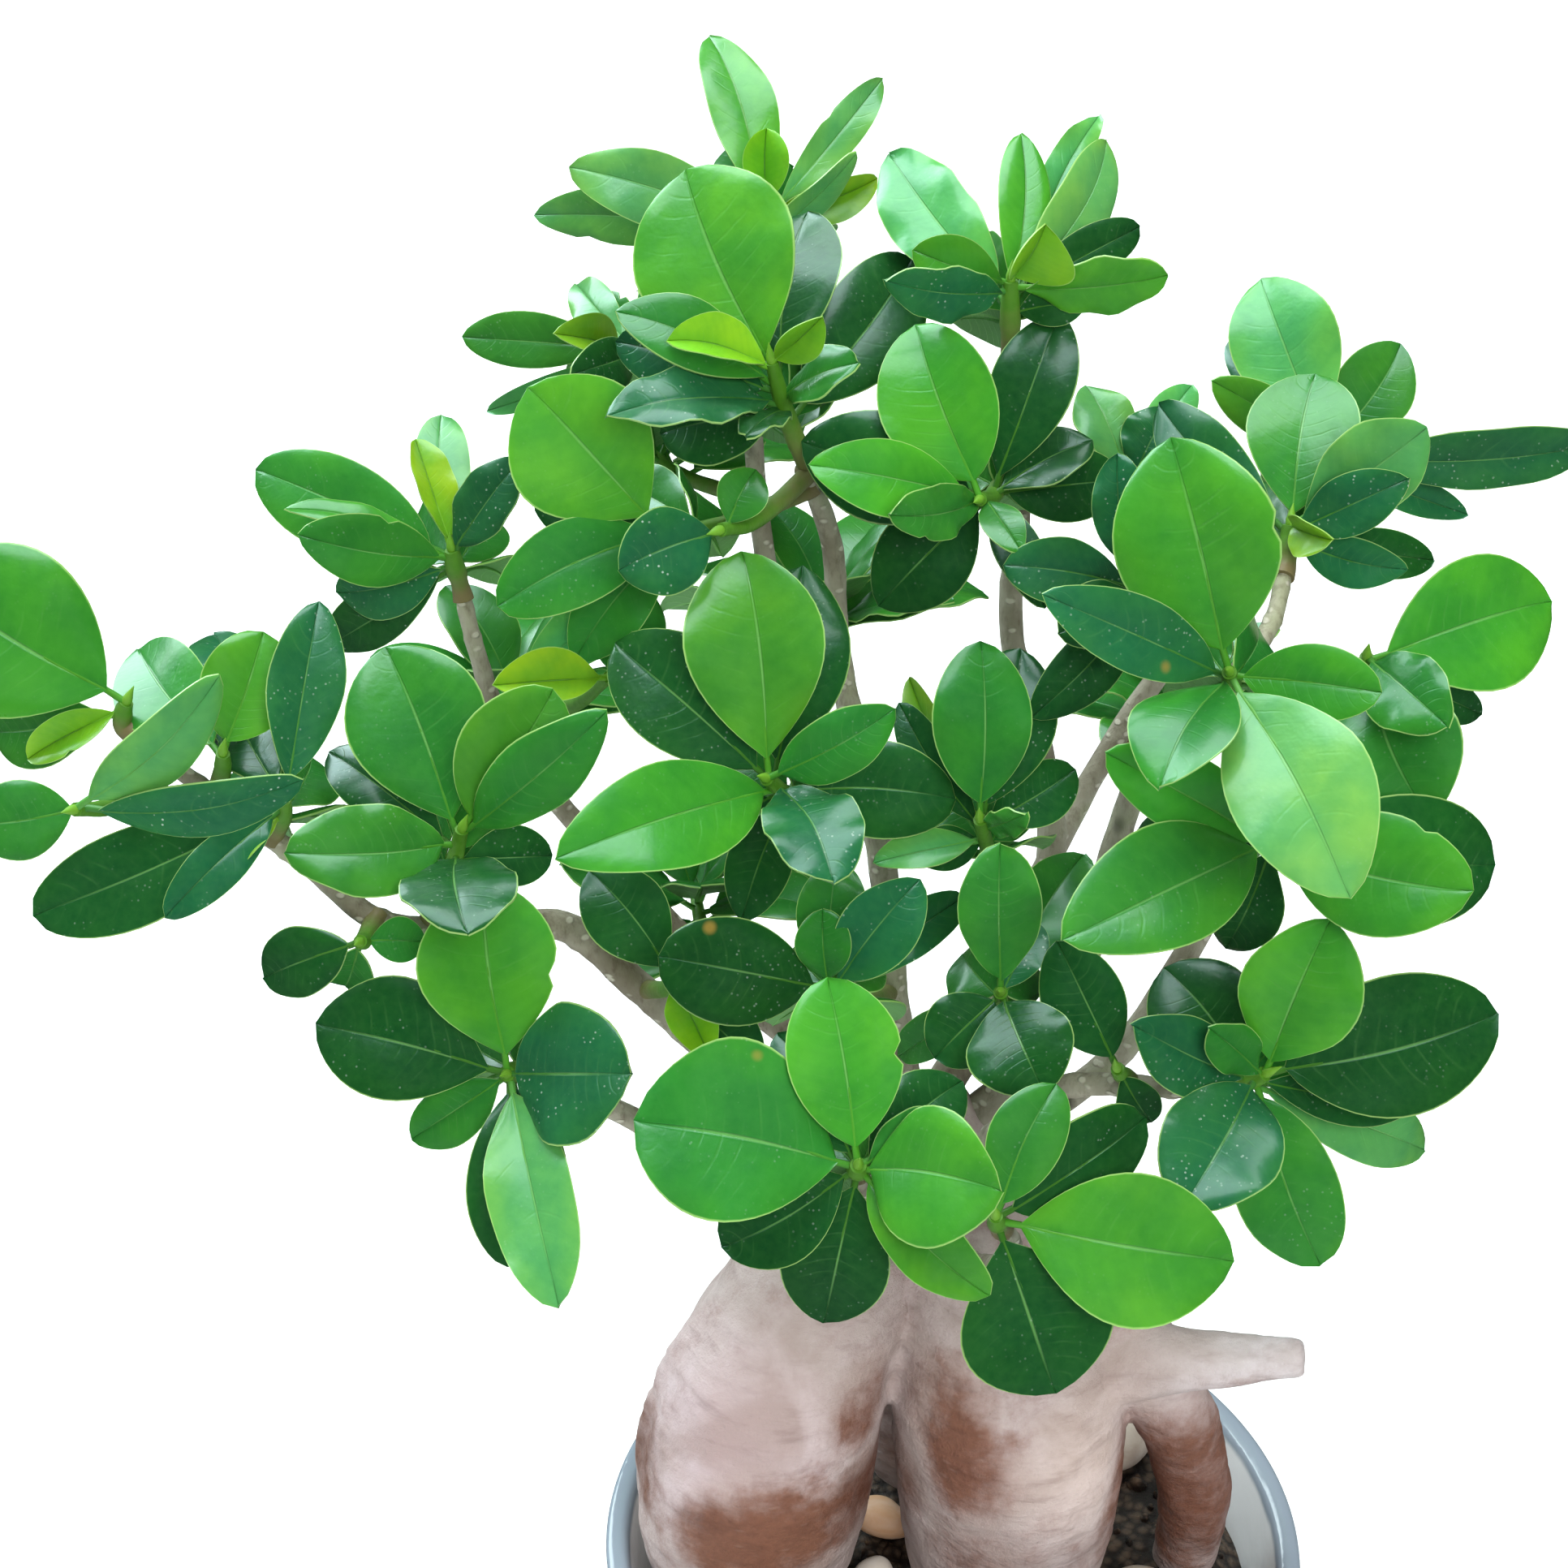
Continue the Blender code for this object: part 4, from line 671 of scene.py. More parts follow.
def blade_of(verts, faces):
    """The part of a leaf beyond its petiole, which keeps off its own shoot's other blades too."""
    row = len(verts) // (len(LEAF_ROWS) - 1)
    return verts[row:], [[index - row for index in face] for face in faces if min(face) >= row]


def settle(leaf, owner, crowd, blades):
    """The leaf as near to its wanted place and size as clear space lets it be, if there is any."""
    for share in SHARES:
        for swing in SWINGS:
            for turn in TURNS:
                trial = leaf.moved(swing, turn, share)
                verts, faces = trial.shape(LEAF_CLEARANCE)
                if crowd.clear(owner, verts, faces) and blades.clear(None, *blade_of(verts, faces)):
                    return trial
    return None


def nearest_on_path(path, place):
    """The place nearest to a point on each stretch of a path."""
    found = []
    for start, end in zip(path[:-1], path[1:]):
        stretch = end - start
        share = (place - start).dot(stretch) / stretch.length_squared
        found.append(start + min(1.0 - STRETCH_END, max(STRETCH_END, share)) * stretch)
    return found


def shoot_stem(branch, bud):
    """Path and radii of a green stem from the nearest place on its branch to its bud."""
    path, radii, tree = branch
    end = on_sheet(*bud)
    foot, _, _, away = tree.find_nearest(end)
    foot, _, _, _ = tree.find_nearest(end - STEM_RISE * away * STRAIGHT_UP)
    axis = min(nearest_on_path(path, foot), key=lambda place: (place - foot).length)
    start, normal = seat([tree], end, axis)
    reach = (end - start).length
    radii = [STEM_FOOT_RADIUS, STEM_FOOT_RADIUS, STEM_FOOT_RADIUS, STEM_TIP_RADIUS, BUD_RADIUS]
    for step in range(FOOT_LIFTS):
        foot = start + (GAP + step * FOOT_LIFT) * normal
        first = foot + STEM_BEND * STEM_FOOT_RADIUS * normal
        middle = first.lerp(end - STEM_ARCH * reach * STRAIGHT_UP, STEM_MIDDLE)
        path = [foot, first, middle, end, end + BUD_LENGTH * (end - middle).normalized()]
        if keeps_off([tree], path, radii, STEM_SIDES):
            break
    return path, radii


def leaf_bases(path, count):
    """Places on the stem's middle line for a number of leaves, from the bud down."""
    bud, lower, foot = path[-2], path[-3], path[-4]
    upper_length = (bud - lower).length
    leafy_length = upper_length + LEAFY_SHARE * (lower - foot).length
    spacing = min(LEAF_SPACING, leafy_length / count)
    bases = []
    for number in range(count):
        distance = spacing * number
        if distance <= upper_length:
            bases.append(bud + distance * (lower - bud).normalized())
        else:
            bases.append(lower + (distance - upper_length) * (foot - lower).normalized())
    return bases


def listed_leaves(bud, leaves, path):
    """The leaves of a listed shoot, with those on its far side after them."""
    made = []
    far = FAR_LEAVES if len(leaves) >= FEWEST_FOR_FAR_LEAVES else ()
    bases = leaf_bases(path, len(leaves) + len(far))
    for base, (across, up, out, width, turn, age) in zip(bases, leaves):
        made.append(Leaf(base, on_sheet(across, up, out), width, turn, age))
    for base, (across, up, out, width, turn) in zip(bases[len(leaves):], far):
        tip = on_sheet(bud[0] + across, bud[1] + up, bud[2] + out)
        upward = (tip - base).normalized() + 2.0 * STRAIGHT_UP
        made.append(Leaf(base, tip, width, turn, "m", upward.normalized()))
    return made


def round_leaves(bud, count, length, path):
    """Leaves round a stem by the golden angle, the lower ones longer and more level."""
    made = []
    centre = on_sheet(*bud)
    for number, base in enumerate(leaf_bases(path, count)):
        angle = GOLDEN_ANGLE * number
        level = (number + 1) / count
        rise = math.radians(60.0 - 65.0 * level)
        flat = Vector((math.cos(angle), math.sin(angle), 0.0))
        outward = math.cos(rise) * flat + math.sin(rise) * STRAIGHT_UP
        size = length * (0.7 + 0.35 * level)
        upward = STRAIGHT_UP - 0.4 * flat
        tip = centre + size * outward
        made.append(Leaf(base, tip, ROUND_LEAF_WIDTH * size, 0.0, "m", upward.normalized()))
    return made


def grown_shoots(roots, branches):
    """Each leafy shoot's stem path, radii and settled leaves, placed from the front backwards."""
    crowd = Crowd()
    for path, radii in roots.values():
        crowd.add("trunk", *tube(path, radii, ROOT_SIDES))
    for path, radii, _ in branches.values():
        crowd.add("branch", *tube(path, radii, BRANCH_SIDES))
    stems = {}
    wanted = []
    for name, (branch, bud, *_) in {**SHOOTS, **ROUND_SHOOTS}.items():
        stems[name] = shoot_stem(branches[branch], bud)
        crowd.add(name, *tube(*stems[name], STEM_SIDES))
    for name, (_, bud, leaves) in SHOOTS.items():
        wanted += [(name, leaf) for leaf in listed_leaves(bud, leaves, stems[name][0])]
    for name, (_, bud, count, length) in ROUND_SHOOTS.items():
        wanted += [(name, leaf) for leaf in round_leaves(bud, count, length, stems[name][0])]
    wanted.sort(key=lambda item: (item[1].tip - FOCUS).length)
    grown = {name: [] for name in stems}
    blades = {name: Crowd() for name in stems}
    for name, leaf in wanted:
        settled = settle(leaf, name, crowd, blades[name])
        if settled is None:
            continue
        verts, faces = settled.shape()
        crowd.add(name, verts, faces)
        blades[name].add(name, *blade_of(verts, faces))
        grown[name].append(settled)
    return {name: (*stems[name], grown[name]) for name in stems}


# ---------------------------------------------------------------- fine shapes


class Shape:
    """Points and faces gathered for one mesh, with a leaf map and a tint at each point."""

    def __init__(self):
        self.verts = []
        self.faces = []
        self.slots = []
        self.places = []
        self.tints = []

    def add(self, verts, faces, slot=0, places=None, tint=(1.0, 1.0, 1.0, 0.0)):
        start = len(self.verts)
        self.verts += [tuple(vert) for vert in verts]
        self.faces += [[start + index for index in face] for face in faces]
        self.slots += [slot] * len(faces)
        self.places += places or [(0.5, 0.5)] * len(verts)
        self.tints += [tint] * len(verts)

    def make(self, name, finishes):
        """An object of the gathered shape, in metres, with these materials."""
        mesh = bpy.data.meshes.new(name)
        mesh.from_pydata([(MM * x, MM * y, MM * z) for x, y, z in self.verts], [], self.faces)
        mesh.polygons.foreach_set("material_index", self.slots)
        corners = np.empty(len(mesh.loops), np.int32)
        mesh.loops.foreach_get("vertex_index", corners)
        leaf_map = mesh.uv_layers.new(name="leaf_map")
        leaf_map.data.foreach_set("uv", np.array(self.places, np.float32)[corners].ravel())
        tint = mesh.attributes.new("tint", "FLOAT_COLOR", "POINT")
        tint.data.foreach_set("color", np.array(self.tints, np.float32).ravel())
        mesh.shade_smooth()
        mesh.set_sharp_from_angle(angle=SHARP_EDGE)
        for finish in finishes:
            mesh.materials.append(finish)
        obj = bpy.data.objects.new(name, mesh)
        bpy.context.scene.collection.objects.link(obj)
        return obj


def fixed(obj, slot, *nodes):
    """Fixes a finished piece to the plant in place of the CAD nodes it stands for."""
    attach(obj, "root")
    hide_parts(*nodes)


def smooth_path(points, values, steps):
    """A smooth path through points, with a value such as a radius carried along it."""
    ends = [2 * points[0] - points[1], *points, 2 * points[-1] - points[-2]]
    edge = [values[0], *values, values[-1]]
    path = []
    radii = []
    for index in range(len(points) - 1):
        a, b, c, d = ends[index:index + 4]
        for step in range(steps):
            t = step / steps
            path.append(0.5 * (2 * b + (c - a) * t + (2 * a - 5 * b + 4 * c - d) * t**2
                               + (3 * b - 3 * c + d - a) * t**3))
            w, x, y, z = edge[index:index + 4]
            radii.append(0.5 * (2 * x + (y - w) * t + (2 * w - 5 * x + 4 * y - z) * t**2
                                + (3 * x - 3 * y + z - w) * t**3))
    return [*path, points[-1].copy()], [*radii, values[-1]]


def uneven(place, size, seed=0.0):
    """Smooth noise at a place, from about -1 to 1, with lumps of about a size."""
    return noise.noise(Vector(place) / size + Vector((seed, 1.7 * seed, -seed)))


def circle(radius, height, sides):
    """Points of a level circle about Z."""
    angles = [math.tau * k / sides for k in range(sides)]
    return [(radius * math.cos(angle), radius * math.sin(angle), height) for angle in angles]


def turned_shape(profile, sides):
    """Points and faces of a shape turned about Z from a profile, with its two ends closed."""
    verts = [point for radius, height in profile for point in circle(radius, height, sides)]
    return verts, ring_faces(len(profile), sides)


def rounded(corners, radius, steps):
    """A profile whose corners are rounded, except its first and last point."""
    points = [corners[0]]
    for before, corner, after in zip(corners[:-2], corners[1:-1], corners[2:]):
        start, middle, end = (Vector(point) for point in (before, corner, after))
        inward = (start - middle).normalized()
        onward = (end - middle).normalized()
        reach = min(radius, 0.45 * (start - middle).length, 0.45 * (end - middle).length)
        for step in range(steps + 1):
            t = step / steps
            point = ((1 - t) ** 2 * (middle + reach * inward) + 2 * t * (1 - t) * middle
                     + t**2 * (middle + reach * onward))
            points.append((point.x, point.y))
    points.append(corners[-1])
    return points


# ---------------------------------------------------------------- finishes


class Finish:
    """A material and short ways to add the nodes that the finishes share."""

    def __init__(self, name):
        self.material = bpy.data.materials.new(name)
        self.material.use_nodes = True
        self.tree = self.material.node_tree
        self.shader = self.tree.nodes["Principled BSDF"]
        self.object_place = self.node("ShaderNodeTexCoord").outputs["Object"]

    def node(self, kind, **settings):
        made = self.tree.nodes.new(kind)
        for key, value in settings.items():
            setattr(made, key, value)
        return made

    def feed(self, socket, value):
        """Links a socket to another node's output, or sets a plain value on it."""
        if isinstance(value, bpy.types.NodeSocket):
            self.tree.links.new(value, socket)
        elif isinstance(value, (tuple, list)) and socket.type == "RGBA":
            socket.default_value = (*value[:3], 1.0)
        else:
            socket.default_value = value

    def set(self, **values):
        """Feeds the shader's inputs, whose names have a line in place of each space."""
        for key, value in values.items():
            self.feed(self.shader.inputs[key.replace("_", " ")], value)

    def math(self, operation, *values):
        made = self.node("ShaderNodeMath", operation=operation)
        for socket, value in zip(made.inputs, values):
            self.feed(socket, value)
        return made.outputs[0]

    def times(self, first, second):
        return self.math("MULTIPLY", first, second)

    def raised(self, value, factor, base):
        """A base with a value, times a factor, added to it."""
        return self.math("MULTIPLY_ADD", value, factor, base)

    def between(self, value, low, high):
        """0 below low and 1 above high, or the other way round where high is lower."""
        made = self.node("ShaderNodeMapRange", interpolation_type="SMOOTHSTEP")
        flip = high < low
        for socket, number in zip(made.inputs, (value, min(low, high), max(low, high), float(flip),
                                                float(not flip))):
            self.feed(socket, number)
        return made.outputs[0]

    def mix(self, share, first, second, blend="MIX"):
        made = self.node("ShaderNodeMix", data_type="RGBA", blend_type=blend, clamp_result=True)
        self.feed(made.inputs[0], share)
        self.feed(made.inputs[6], first)
        self.feed(made.inputs[7], second)
        return made.outputs[2]

    def toned(self, colour, tone):
        """A colour multiplied by another."""
        return self.mix(1.0, colour, tone, "MULTIPLY")

    def covered(self, colour, mask, strength, cover):
        """A colour with a cover laid over it where a mask is 1, no thicker than a strength."""
        return self.mix(self.times(mask, strength), colour, cover)

    def stretched(self, scale):
        made = self.node("ShaderNodeMapping")
        self.feed(made.inputs["Vector"], self.object_place)
        made.inputs["Scale"].default_value = scale
        return made.outputs[0]

    def noise(self, size, detail=3.0, roughness=0.5, place=None, distortion=0.0):
        """Noise with lumps of about a size in metres, from 0 to 1."""
        made = self.node("ShaderNodeTexNoise")
        self.feed(made.inputs["Vector"], place or self.object_place)
        for name, value in (("Scale", 1.0 / size), ("Detail", detail), ("Roughness", roughness),
                            ("Distortion", distortion)):
            made.inputs[name].default_value = value
        return made.outputs["Fac"]

    def cells(self, size, place=None):
        """Distance to the nearest of points scattered about a size in metres apart, in sizes."""
        made = self.node("ShaderNodeTexVoronoi")
        self.feed(made.inputs["Vector"], place or self.object_place)
        made.inputs["Scale"].default_value = 1.0 / size
        return made.outputs["Distance"]

    def tint(self):
        """The colour painted on the mesh, and its fourth value."""
        painted = self.node("ShaderNodeAttribute", attribute_name="tint")
        return painted.outputs["Color"], painted.outputs["Alpha"]

    def leaf_place(self):
        """How far from the midrib a place is, 1 at a margin, and how far along the leaf."""
        split = self.node("ShaderNodeSeparateXYZ")
        self.feed(split.inputs[0], self.node("ShaderNodeUVMap", uv_map="leaf_map").outputs[0])
        return self.math("ABSOLUTE", self.raised(split.outputs[0], 2.0, -1.0)), split.outputs[1]

    def off_side_veins(self, across, along, pairs, wander=0.0):
        """Distance to the nearest side vein. They leave the midrib at an angle, bend towards
        the tip and may wander a little."""
        course = self.raised(self.math("POWER", across, 1.5), -0.16, along)
        if wander:
            course = self.raised(self.noise(0.006, 2.0), wander, course)
        phase = self.math("FRACT", self.times(course, pairs))
        return self.math("ABSOLUTE", self.math("SUBTRACT", phase, 0.5))

    def bump(self, height, depth, strength):
        made = self.node("ShaderNodeBump")
        made.inputs["Strength"].default_value = strength
        made.inputs["Distance"].default_value = depth
        self.feed(made.inputs["Height"], height)
        return made.outputs[0]

    def glowing_through(self, colour, share):
        """Lets some light through the surface, as a thin living leaf does."""
        through = self.node("ShaderNodeBsdfTranslucent")
        self.feed(through.inputs["Color"], colour)
        mixed = self.node("ShaderNodeMixShader")
        mixed.inputs[0].default_value = share
        surface = self.tree.nodes["Material Output"].inputs["Surface"]
        self.tree.links.new(self.shader.outputs[0], mixed.inputs[1])
        self.tree.links.new(through.outputs[0], mixed.inputs[2])
        self.tree.links.new(mixed.outputs[0], surface)


def leaf_top_finish(settings):
    """Waxy upper side: midrib, side veins, thin pale margin, mottling and dust."""
    skin = Finish("waxy_leaf_top")
    tint, old = skin.tint()
    veins = settings.vein_colour[:]
    across, along = skin.leaf_place()
    off_vein = skin.off_side_veins(across, along, settings.vein_pairs, 0.03)
    vein = skin.times(skin.between(off_vein, 0.12, 0.0), skin.between(across, 0.9, 0.3))
    vein = skin.times(vein, skin.between(skin.noise(0.009, 2.0), 0.4, 0.7))
    midrib = skin.between(across, 0.032, 0.008)
    fading_midrib = skin.times(midrib, skin.between(along, 1.0, 0.45))
    margin = skin.between(across, 0.965, 0.995)
    mottle = skin.noise(0.011, 4.0, 0.6)
    fine = skin.noise(0.0016, 2.0, 0.6)
    colour = skin.mix(skin.between(mottle, 0.35, 0.7), tint, skin.toned(tint, (0.62, 0.80, 0.9)))
    sunny = skin.math("ADD", skin.noise(0.019, 2.0), skin.times(across, 0.20))
    colour = skin.covered(colour, skin.between(sunny, 0.50, 0.82), 0.75,
                          skin.toned(colour, (1.7, 1.22, 0.7)))
    colour = skin.covered(colour, fine, 0.10, (0.16, 0.52, 0.10))
    colour = skin.covered(colour, skin.between(off_vein, 0.15, 0.5), 0.10,
                          skin.toned(colour, (0.6, 0.75, 0.7)))
    colour = skin.covered(colour, vein, settings.vein_strength, veins)
    colour = skin.covered(colour, fading_midrib, 0.42, veins)
    colour = skin.covered(colour, margin, 0.65, settings.margin_colour[:])
    # Dust and hard-water specks gather on old leaves.
    specks = skin.between(skin.cells(0.0013), 0.22, 0.1)
    dusty = skin.times(specks, skin.between(skin.noise(0.008, 2.0), 0.45, 0.65))
    dusty = skin.times(dusty, old)
    colour = skin.covered(colour, dusty, 0.55, (0.62, 0.75, 0.66))
    blemish = skin.between(skin.cells(0.055), 0.035, 0.012)
    colour = skin.covered(colour, blemish, 0.7, (0.42, 0.26, 0.05))
    roughness = skin.raised(mottle, 0.22, settings.roughness - 0.08)
    roughness = skin.raised(dusty, 0.3, roughness)
    relief = skin.raised(vein, -0.18, skin.times(midrib, -0.8))
    relief = skin.raised(fine, 0.10, relief)
    relief = skin.raised(mottle, 1.1, relief)
    skin.set(Base_Color=colour, Roughness=roughness, Normal=skin.bump(relief, 0.0005, 0.6),
             Coat_Weight=0.45, Coat_Roughness=0.19, Specular_IOR_Level=0.50,
             Specular_Tint=(0.62, 0.94, 1.0))
    skin.glowing_through(skin.toned(colour, (1.0, 1.0, 0.35)), settings.glow)
    return skin.material


def leaf_under_finish(settings):
    """Dull, paler underside with raised veins."""
    skin = Finish("matt_leaf_underside")
    tint, _ = skin.tint()
    veins = settings.vein_colour[:]
    across, along = skin.leaf_place()
    off_vein = skin.off_side_veins(across, along, settings.vein_pairs)
    vein = skin.between(off_vein, 0.12, 0.02)
    midrib = skin.between(across, 0.10, 0.03)
    mottle = skin.noise(0.004, 3.0)
    colour = skin.mix(settings.underside_paleness, tint, (0.27, 0.50, 0.20))
    colour = skin.covered(colour, mottle, 0.3, (0.16, 0.42, 0.14))
    colour = skin.covered(colour, vein, 0.22, veins)
    colour = skin.covered(colour, midrib, 0.7, veins)
    relief = skin.math("ADD", vein, skin.times(midrib, 1.6))
    skin.set(Base_Color=colour, Roughness=skin.raised(mottle, 0.2, 0.45),
             Normal=skin.bump(relief, 0.0003, 0.5))
    skin.glowing_through(skin.toned(colour, (1.0, 1.0, 0.4)), settings.glow)
    return skin.material


def stem_finish(settings):
    """Young stem: green at the bud, turning brown towards its foot."""
    skin = Finish("young_stem")
    tint, _ = skin.tint()
    _, along = skin.leaf_place()
    patch = skin.noise(0.004, 4.0, 0.6)
    age = skin.between(skin.raised(patch, 0.35, along), 0.35, 0.95)
    green = skin.mix(skin.noise(0.002, 2.0), tint, skin.toned(tint, (0.6, 0.75, 0.5)))
    streak = skin.noise(0.0012, 2.0, place=skin.stretched((1.0, 1.0, 0.35)))
    skin.set(Base_Color=skin.mix(age, settings.old_stem_colour[:], green),
             Roughness=skin.raised(patch, 0.3, 0.4), Normal=skin.bump(streak, 0.0003, 0.5))
    return skin.material


def bark_finish(settings):
    """Thin grey-brown bark with green showing through, pale pores and dark scars."""
    skin = Finish("spotted_bark")
    broad = skin.noise(0.018, 4.0, 0.55)
    grain = skin.noise(0.0022, 4.0, 0.65, place=skin.stretched((1.0, 1.0, 0.4)))
    pores = skin.between(skin.cells(0.0042, skin.stretched((1.0, 1.0, 1.6))), 0.30, 0.16)
    scars = skin.between(skin.cells(0.021), 0.16, 0.06)
    colour = skin.mix(skin.between(broad, 0.35, 0.68), settings.bark_colour[:],
                      settings.bark_dark_colour[:])
    colour = skin.covered(colour, skin.between(broad, 0.45, 0.3), 0.35, (0.16, 0.22, 0.06))
    colour = skin.mix(skin.between(grain, 0.45, 0.8), colour, skin.toned(colour, (0.55, 0.5, 0.45)))
    colour = skin.covered(colour, pores, 0.65, settings.pore_colour[:])
    colour = skin.covered(colour, scars, 0.8, (0.035, 0.028, 0.02))
    relief = skin.math("ADD", grain, skin.times(pores, 0.8))
    skin.set(Base_Color=colour, Roughness=skin.raised(grain, 0.3, 0.55),
             Normal=skin.bump(relief, 0.0006, 0.7))
    return skin.material


def root_finish(settings):
    """Swollen root skin: pale lilac-grey, rust-brown patches, fine cross wrinkles. The tint's
    fourth value says how rusty a place is. In the crease between the bulbs and on the left
    bulb's far side, the tint and the rust are partly painted shade."""
    skin = Finish("swollen_root_skin")
    tint, rusty = skin.tint()
    broad = skin.noise(0.026, 4.0, 0.6, distortion=0.6)
    small = skin.raised(skin.noise(0.007, 5.0, 0.7), 0.30, 0.02)
    patch = skin.math("ADD", skin.times(broad, 0.65), small)
    rust = skin.between(skin.math("SUBTRACT", patch, skin.times(rusty, 0.42)), 0.44, 0.14)
    grain = skin.noise(0.0018, 4.0, 0.7)
    wrinkle = skin.noise(0.0035, 4.0, 0.6, place=skin.stretched((0.22, 0.22, 1.0)))
    pores = skin.between(skin.cells(0.0042, skin.stretched((0.6, 0.6, 1.8))), 0.24, 0.12)
    colour = skin.mix(skin.between(broad, 0.3, 0.7), settings.skin_colour[:],
                      settings.skin_shade_colour[:])
    colour = skin.mix(rust, colour, skin.mix(grain, settings.rust_colour[:],
                                             settings.rust_dark_colour[:]))
    colour = skin.covered(colour, skin.between(wrinkle, 0.5, 0.75), 0.45,
                          skin.toned(colour, (0.5, 0.42, 0.4)))
    colour = skin.covered(colour, pores, 0.08, (0.55, 0.46, 0.42))
    relief = skin.raised(rust, 0.5, skin.math("ADD", grain, wrinkle))
    roughness = skin.raised(rust, 0.22, skin.raised(grain, 0.2, 0.42))
    # The tint multiplies in the patches, painted shade among them.
    skin.set(Base_Color=skin.toned(colour, tint), Roughness=roughness,
             Normal=skin.bump(relief, 0.0009, 0.75))
    return skin.material


def glaze_finish(settings):
    """White glaze, slightly uneven, with a blue-grey line along the lip; bare clay foot."""
    skin = Finish("white_glaze")
    split = skin.node("ShaderNodeSeparateXYZ")
    skin.feed(split.inputs[0], skin.object_place)
    height = skin.raised(skin.noise(0.012, 3.0), 0.0016, split.outputs[2])
    top = MM * POT_HEIGHT
    line = skin.between(height, top - settings.rim_line_width, top - 0.35 * settings.rim_line_width)
    foot = skin.between(height, 0.0048, 0.0036)
    pool = skin.noise(0.03, 3.0)
    specks = skin.between(skin.cells(0.009), 0.05, 0.03)
    colour = skin.covered(settings.glaze_colour[:], pool, 0.5, settings.glaze_shade_colour[:])
    colour = skin.covered(colour, specks, 0.35, (0.45, 0.42, 0.38))
    colour = skin.covered(colour, line, 0.9, settings.rim_colour[:])
    clay = skin.mix(skin.noise(0.0008, 3.0), settings.clay_colour[:], (0.42, 0.33, 0.26))
    roughness = skin.raised(foot, 0.6, skin.raised(pool, 0.12, 0.06))
    skin.set(Base_Color=skin.mix(foot, colour, clay), Roughness=roughness,
             Normal=skin.bump(skin.math("ADD", pool, skin.noise(0.006, 2.0)), 0.0006, 0.35))
    return skin.material


def soil_finish(settings):
    """Moist potting soil: dark crumbs, fibres and a few pale grains."""
    skin = Finish("potting_soil")
    tint, _ = skin.tint()
    crumbs = skin.cells(0.0026)
    lumps = skin.noise(0.008, 5.0, 0.7)
    fibre = skin.noise(0.0016, 3.0, 0.7, place=skin.stretched((0.3, 1.0, 1.0)))
    colour = skin.mix(lumps, settings.soil_colour[:], settings.soil_light_colour[:])
    colour = skin.mix(skin.between(crumbs, 0.2, 0.7), colour, (0.012, 0.008, 0.006))
    colour = skin.covered(colour, skin.between(fibre, 0.62, 0.75), 0.5, (0.20, 0.12, 0.06))
    relief = skin.math("SUBTRACT", lumps, skin.times(crumbs, 0.6))
    skin.set(Base_Color=skin.toned(colour, tint), Roughness=skin.raised(lumps, 0.25, 0.7),
             Normal=skin.bump(relief, 0.002, 0.9))
    return skin.material


def stone_finish(name, body, bands):
    """River pebble: soft bands and fine grain, rougher where its grain is higher."""
    skin = Finish(name)
    band = skin.noise(0.007, 4.0, 0.55, place=skin.stretched((0.5, 1.0, 1.4)), distortion=0.8)
    grain = skin.noise(0.0009, 3.0, 0.7)
    pits = skin.between(skin.cells(0.0011), 0.16, 0.06)
    colour = skin.mix(skin.between(band, 0.32, 0.68), body, bands)
    colour = skin.covered(colour, grain, 0.2, skin.toned(colour, (0.55, 0.52, 0.5)))
    colour = skin.covered(colour, pits, 0.15, (0.2, 0.17, 0.14))
    skin.set(Base_Color=colour, Roughness=skin.raised(grain, 0.3, 0.4),
             Normal=skin.bump(skin.raised(pits, -0.4, grain), 0.00012, 0.4))
    return skin.material


# ---------------------------------------------------------------- pieces


def shaped_by(obj, kind, **settings):
    """Applies one modifier to an object's mesh."""
    modifier = obj.modifiers.new(kind.lower(), kind)
    for key, value in settings.items():
        setattr(modifier, key, value)
    shaped = obj.evaluated_get(bpy.context.evaluated_depsgraph_get())
    mesh = bpy.data.meshes.new_from_object(shaped)
    obj.modifiers.clear()
    spare = obj.data
    obj.data = mesh
    bpy.data.meshes.remove(spare)


def points_of(mesh):
    """The places and directions of a mesh's points, in millimetres."""
    places = np.empty(3 * len(mesh.vertices), np.float32)
    normals = np.empty(3 * len(mesh.vertices), np.float32)
    mesh.vertices.foreach_get("co", places)
    mesh.vertices.foreach_get("normal", normals)
    return places.reshape(-1, 3) / MM, normals.reshape(-1, 3)


def set_points(mesh, places):
    mesh.vertices.foreach_set("co", (MM * places).astype(np.float32).ravel())
    mesh.update()


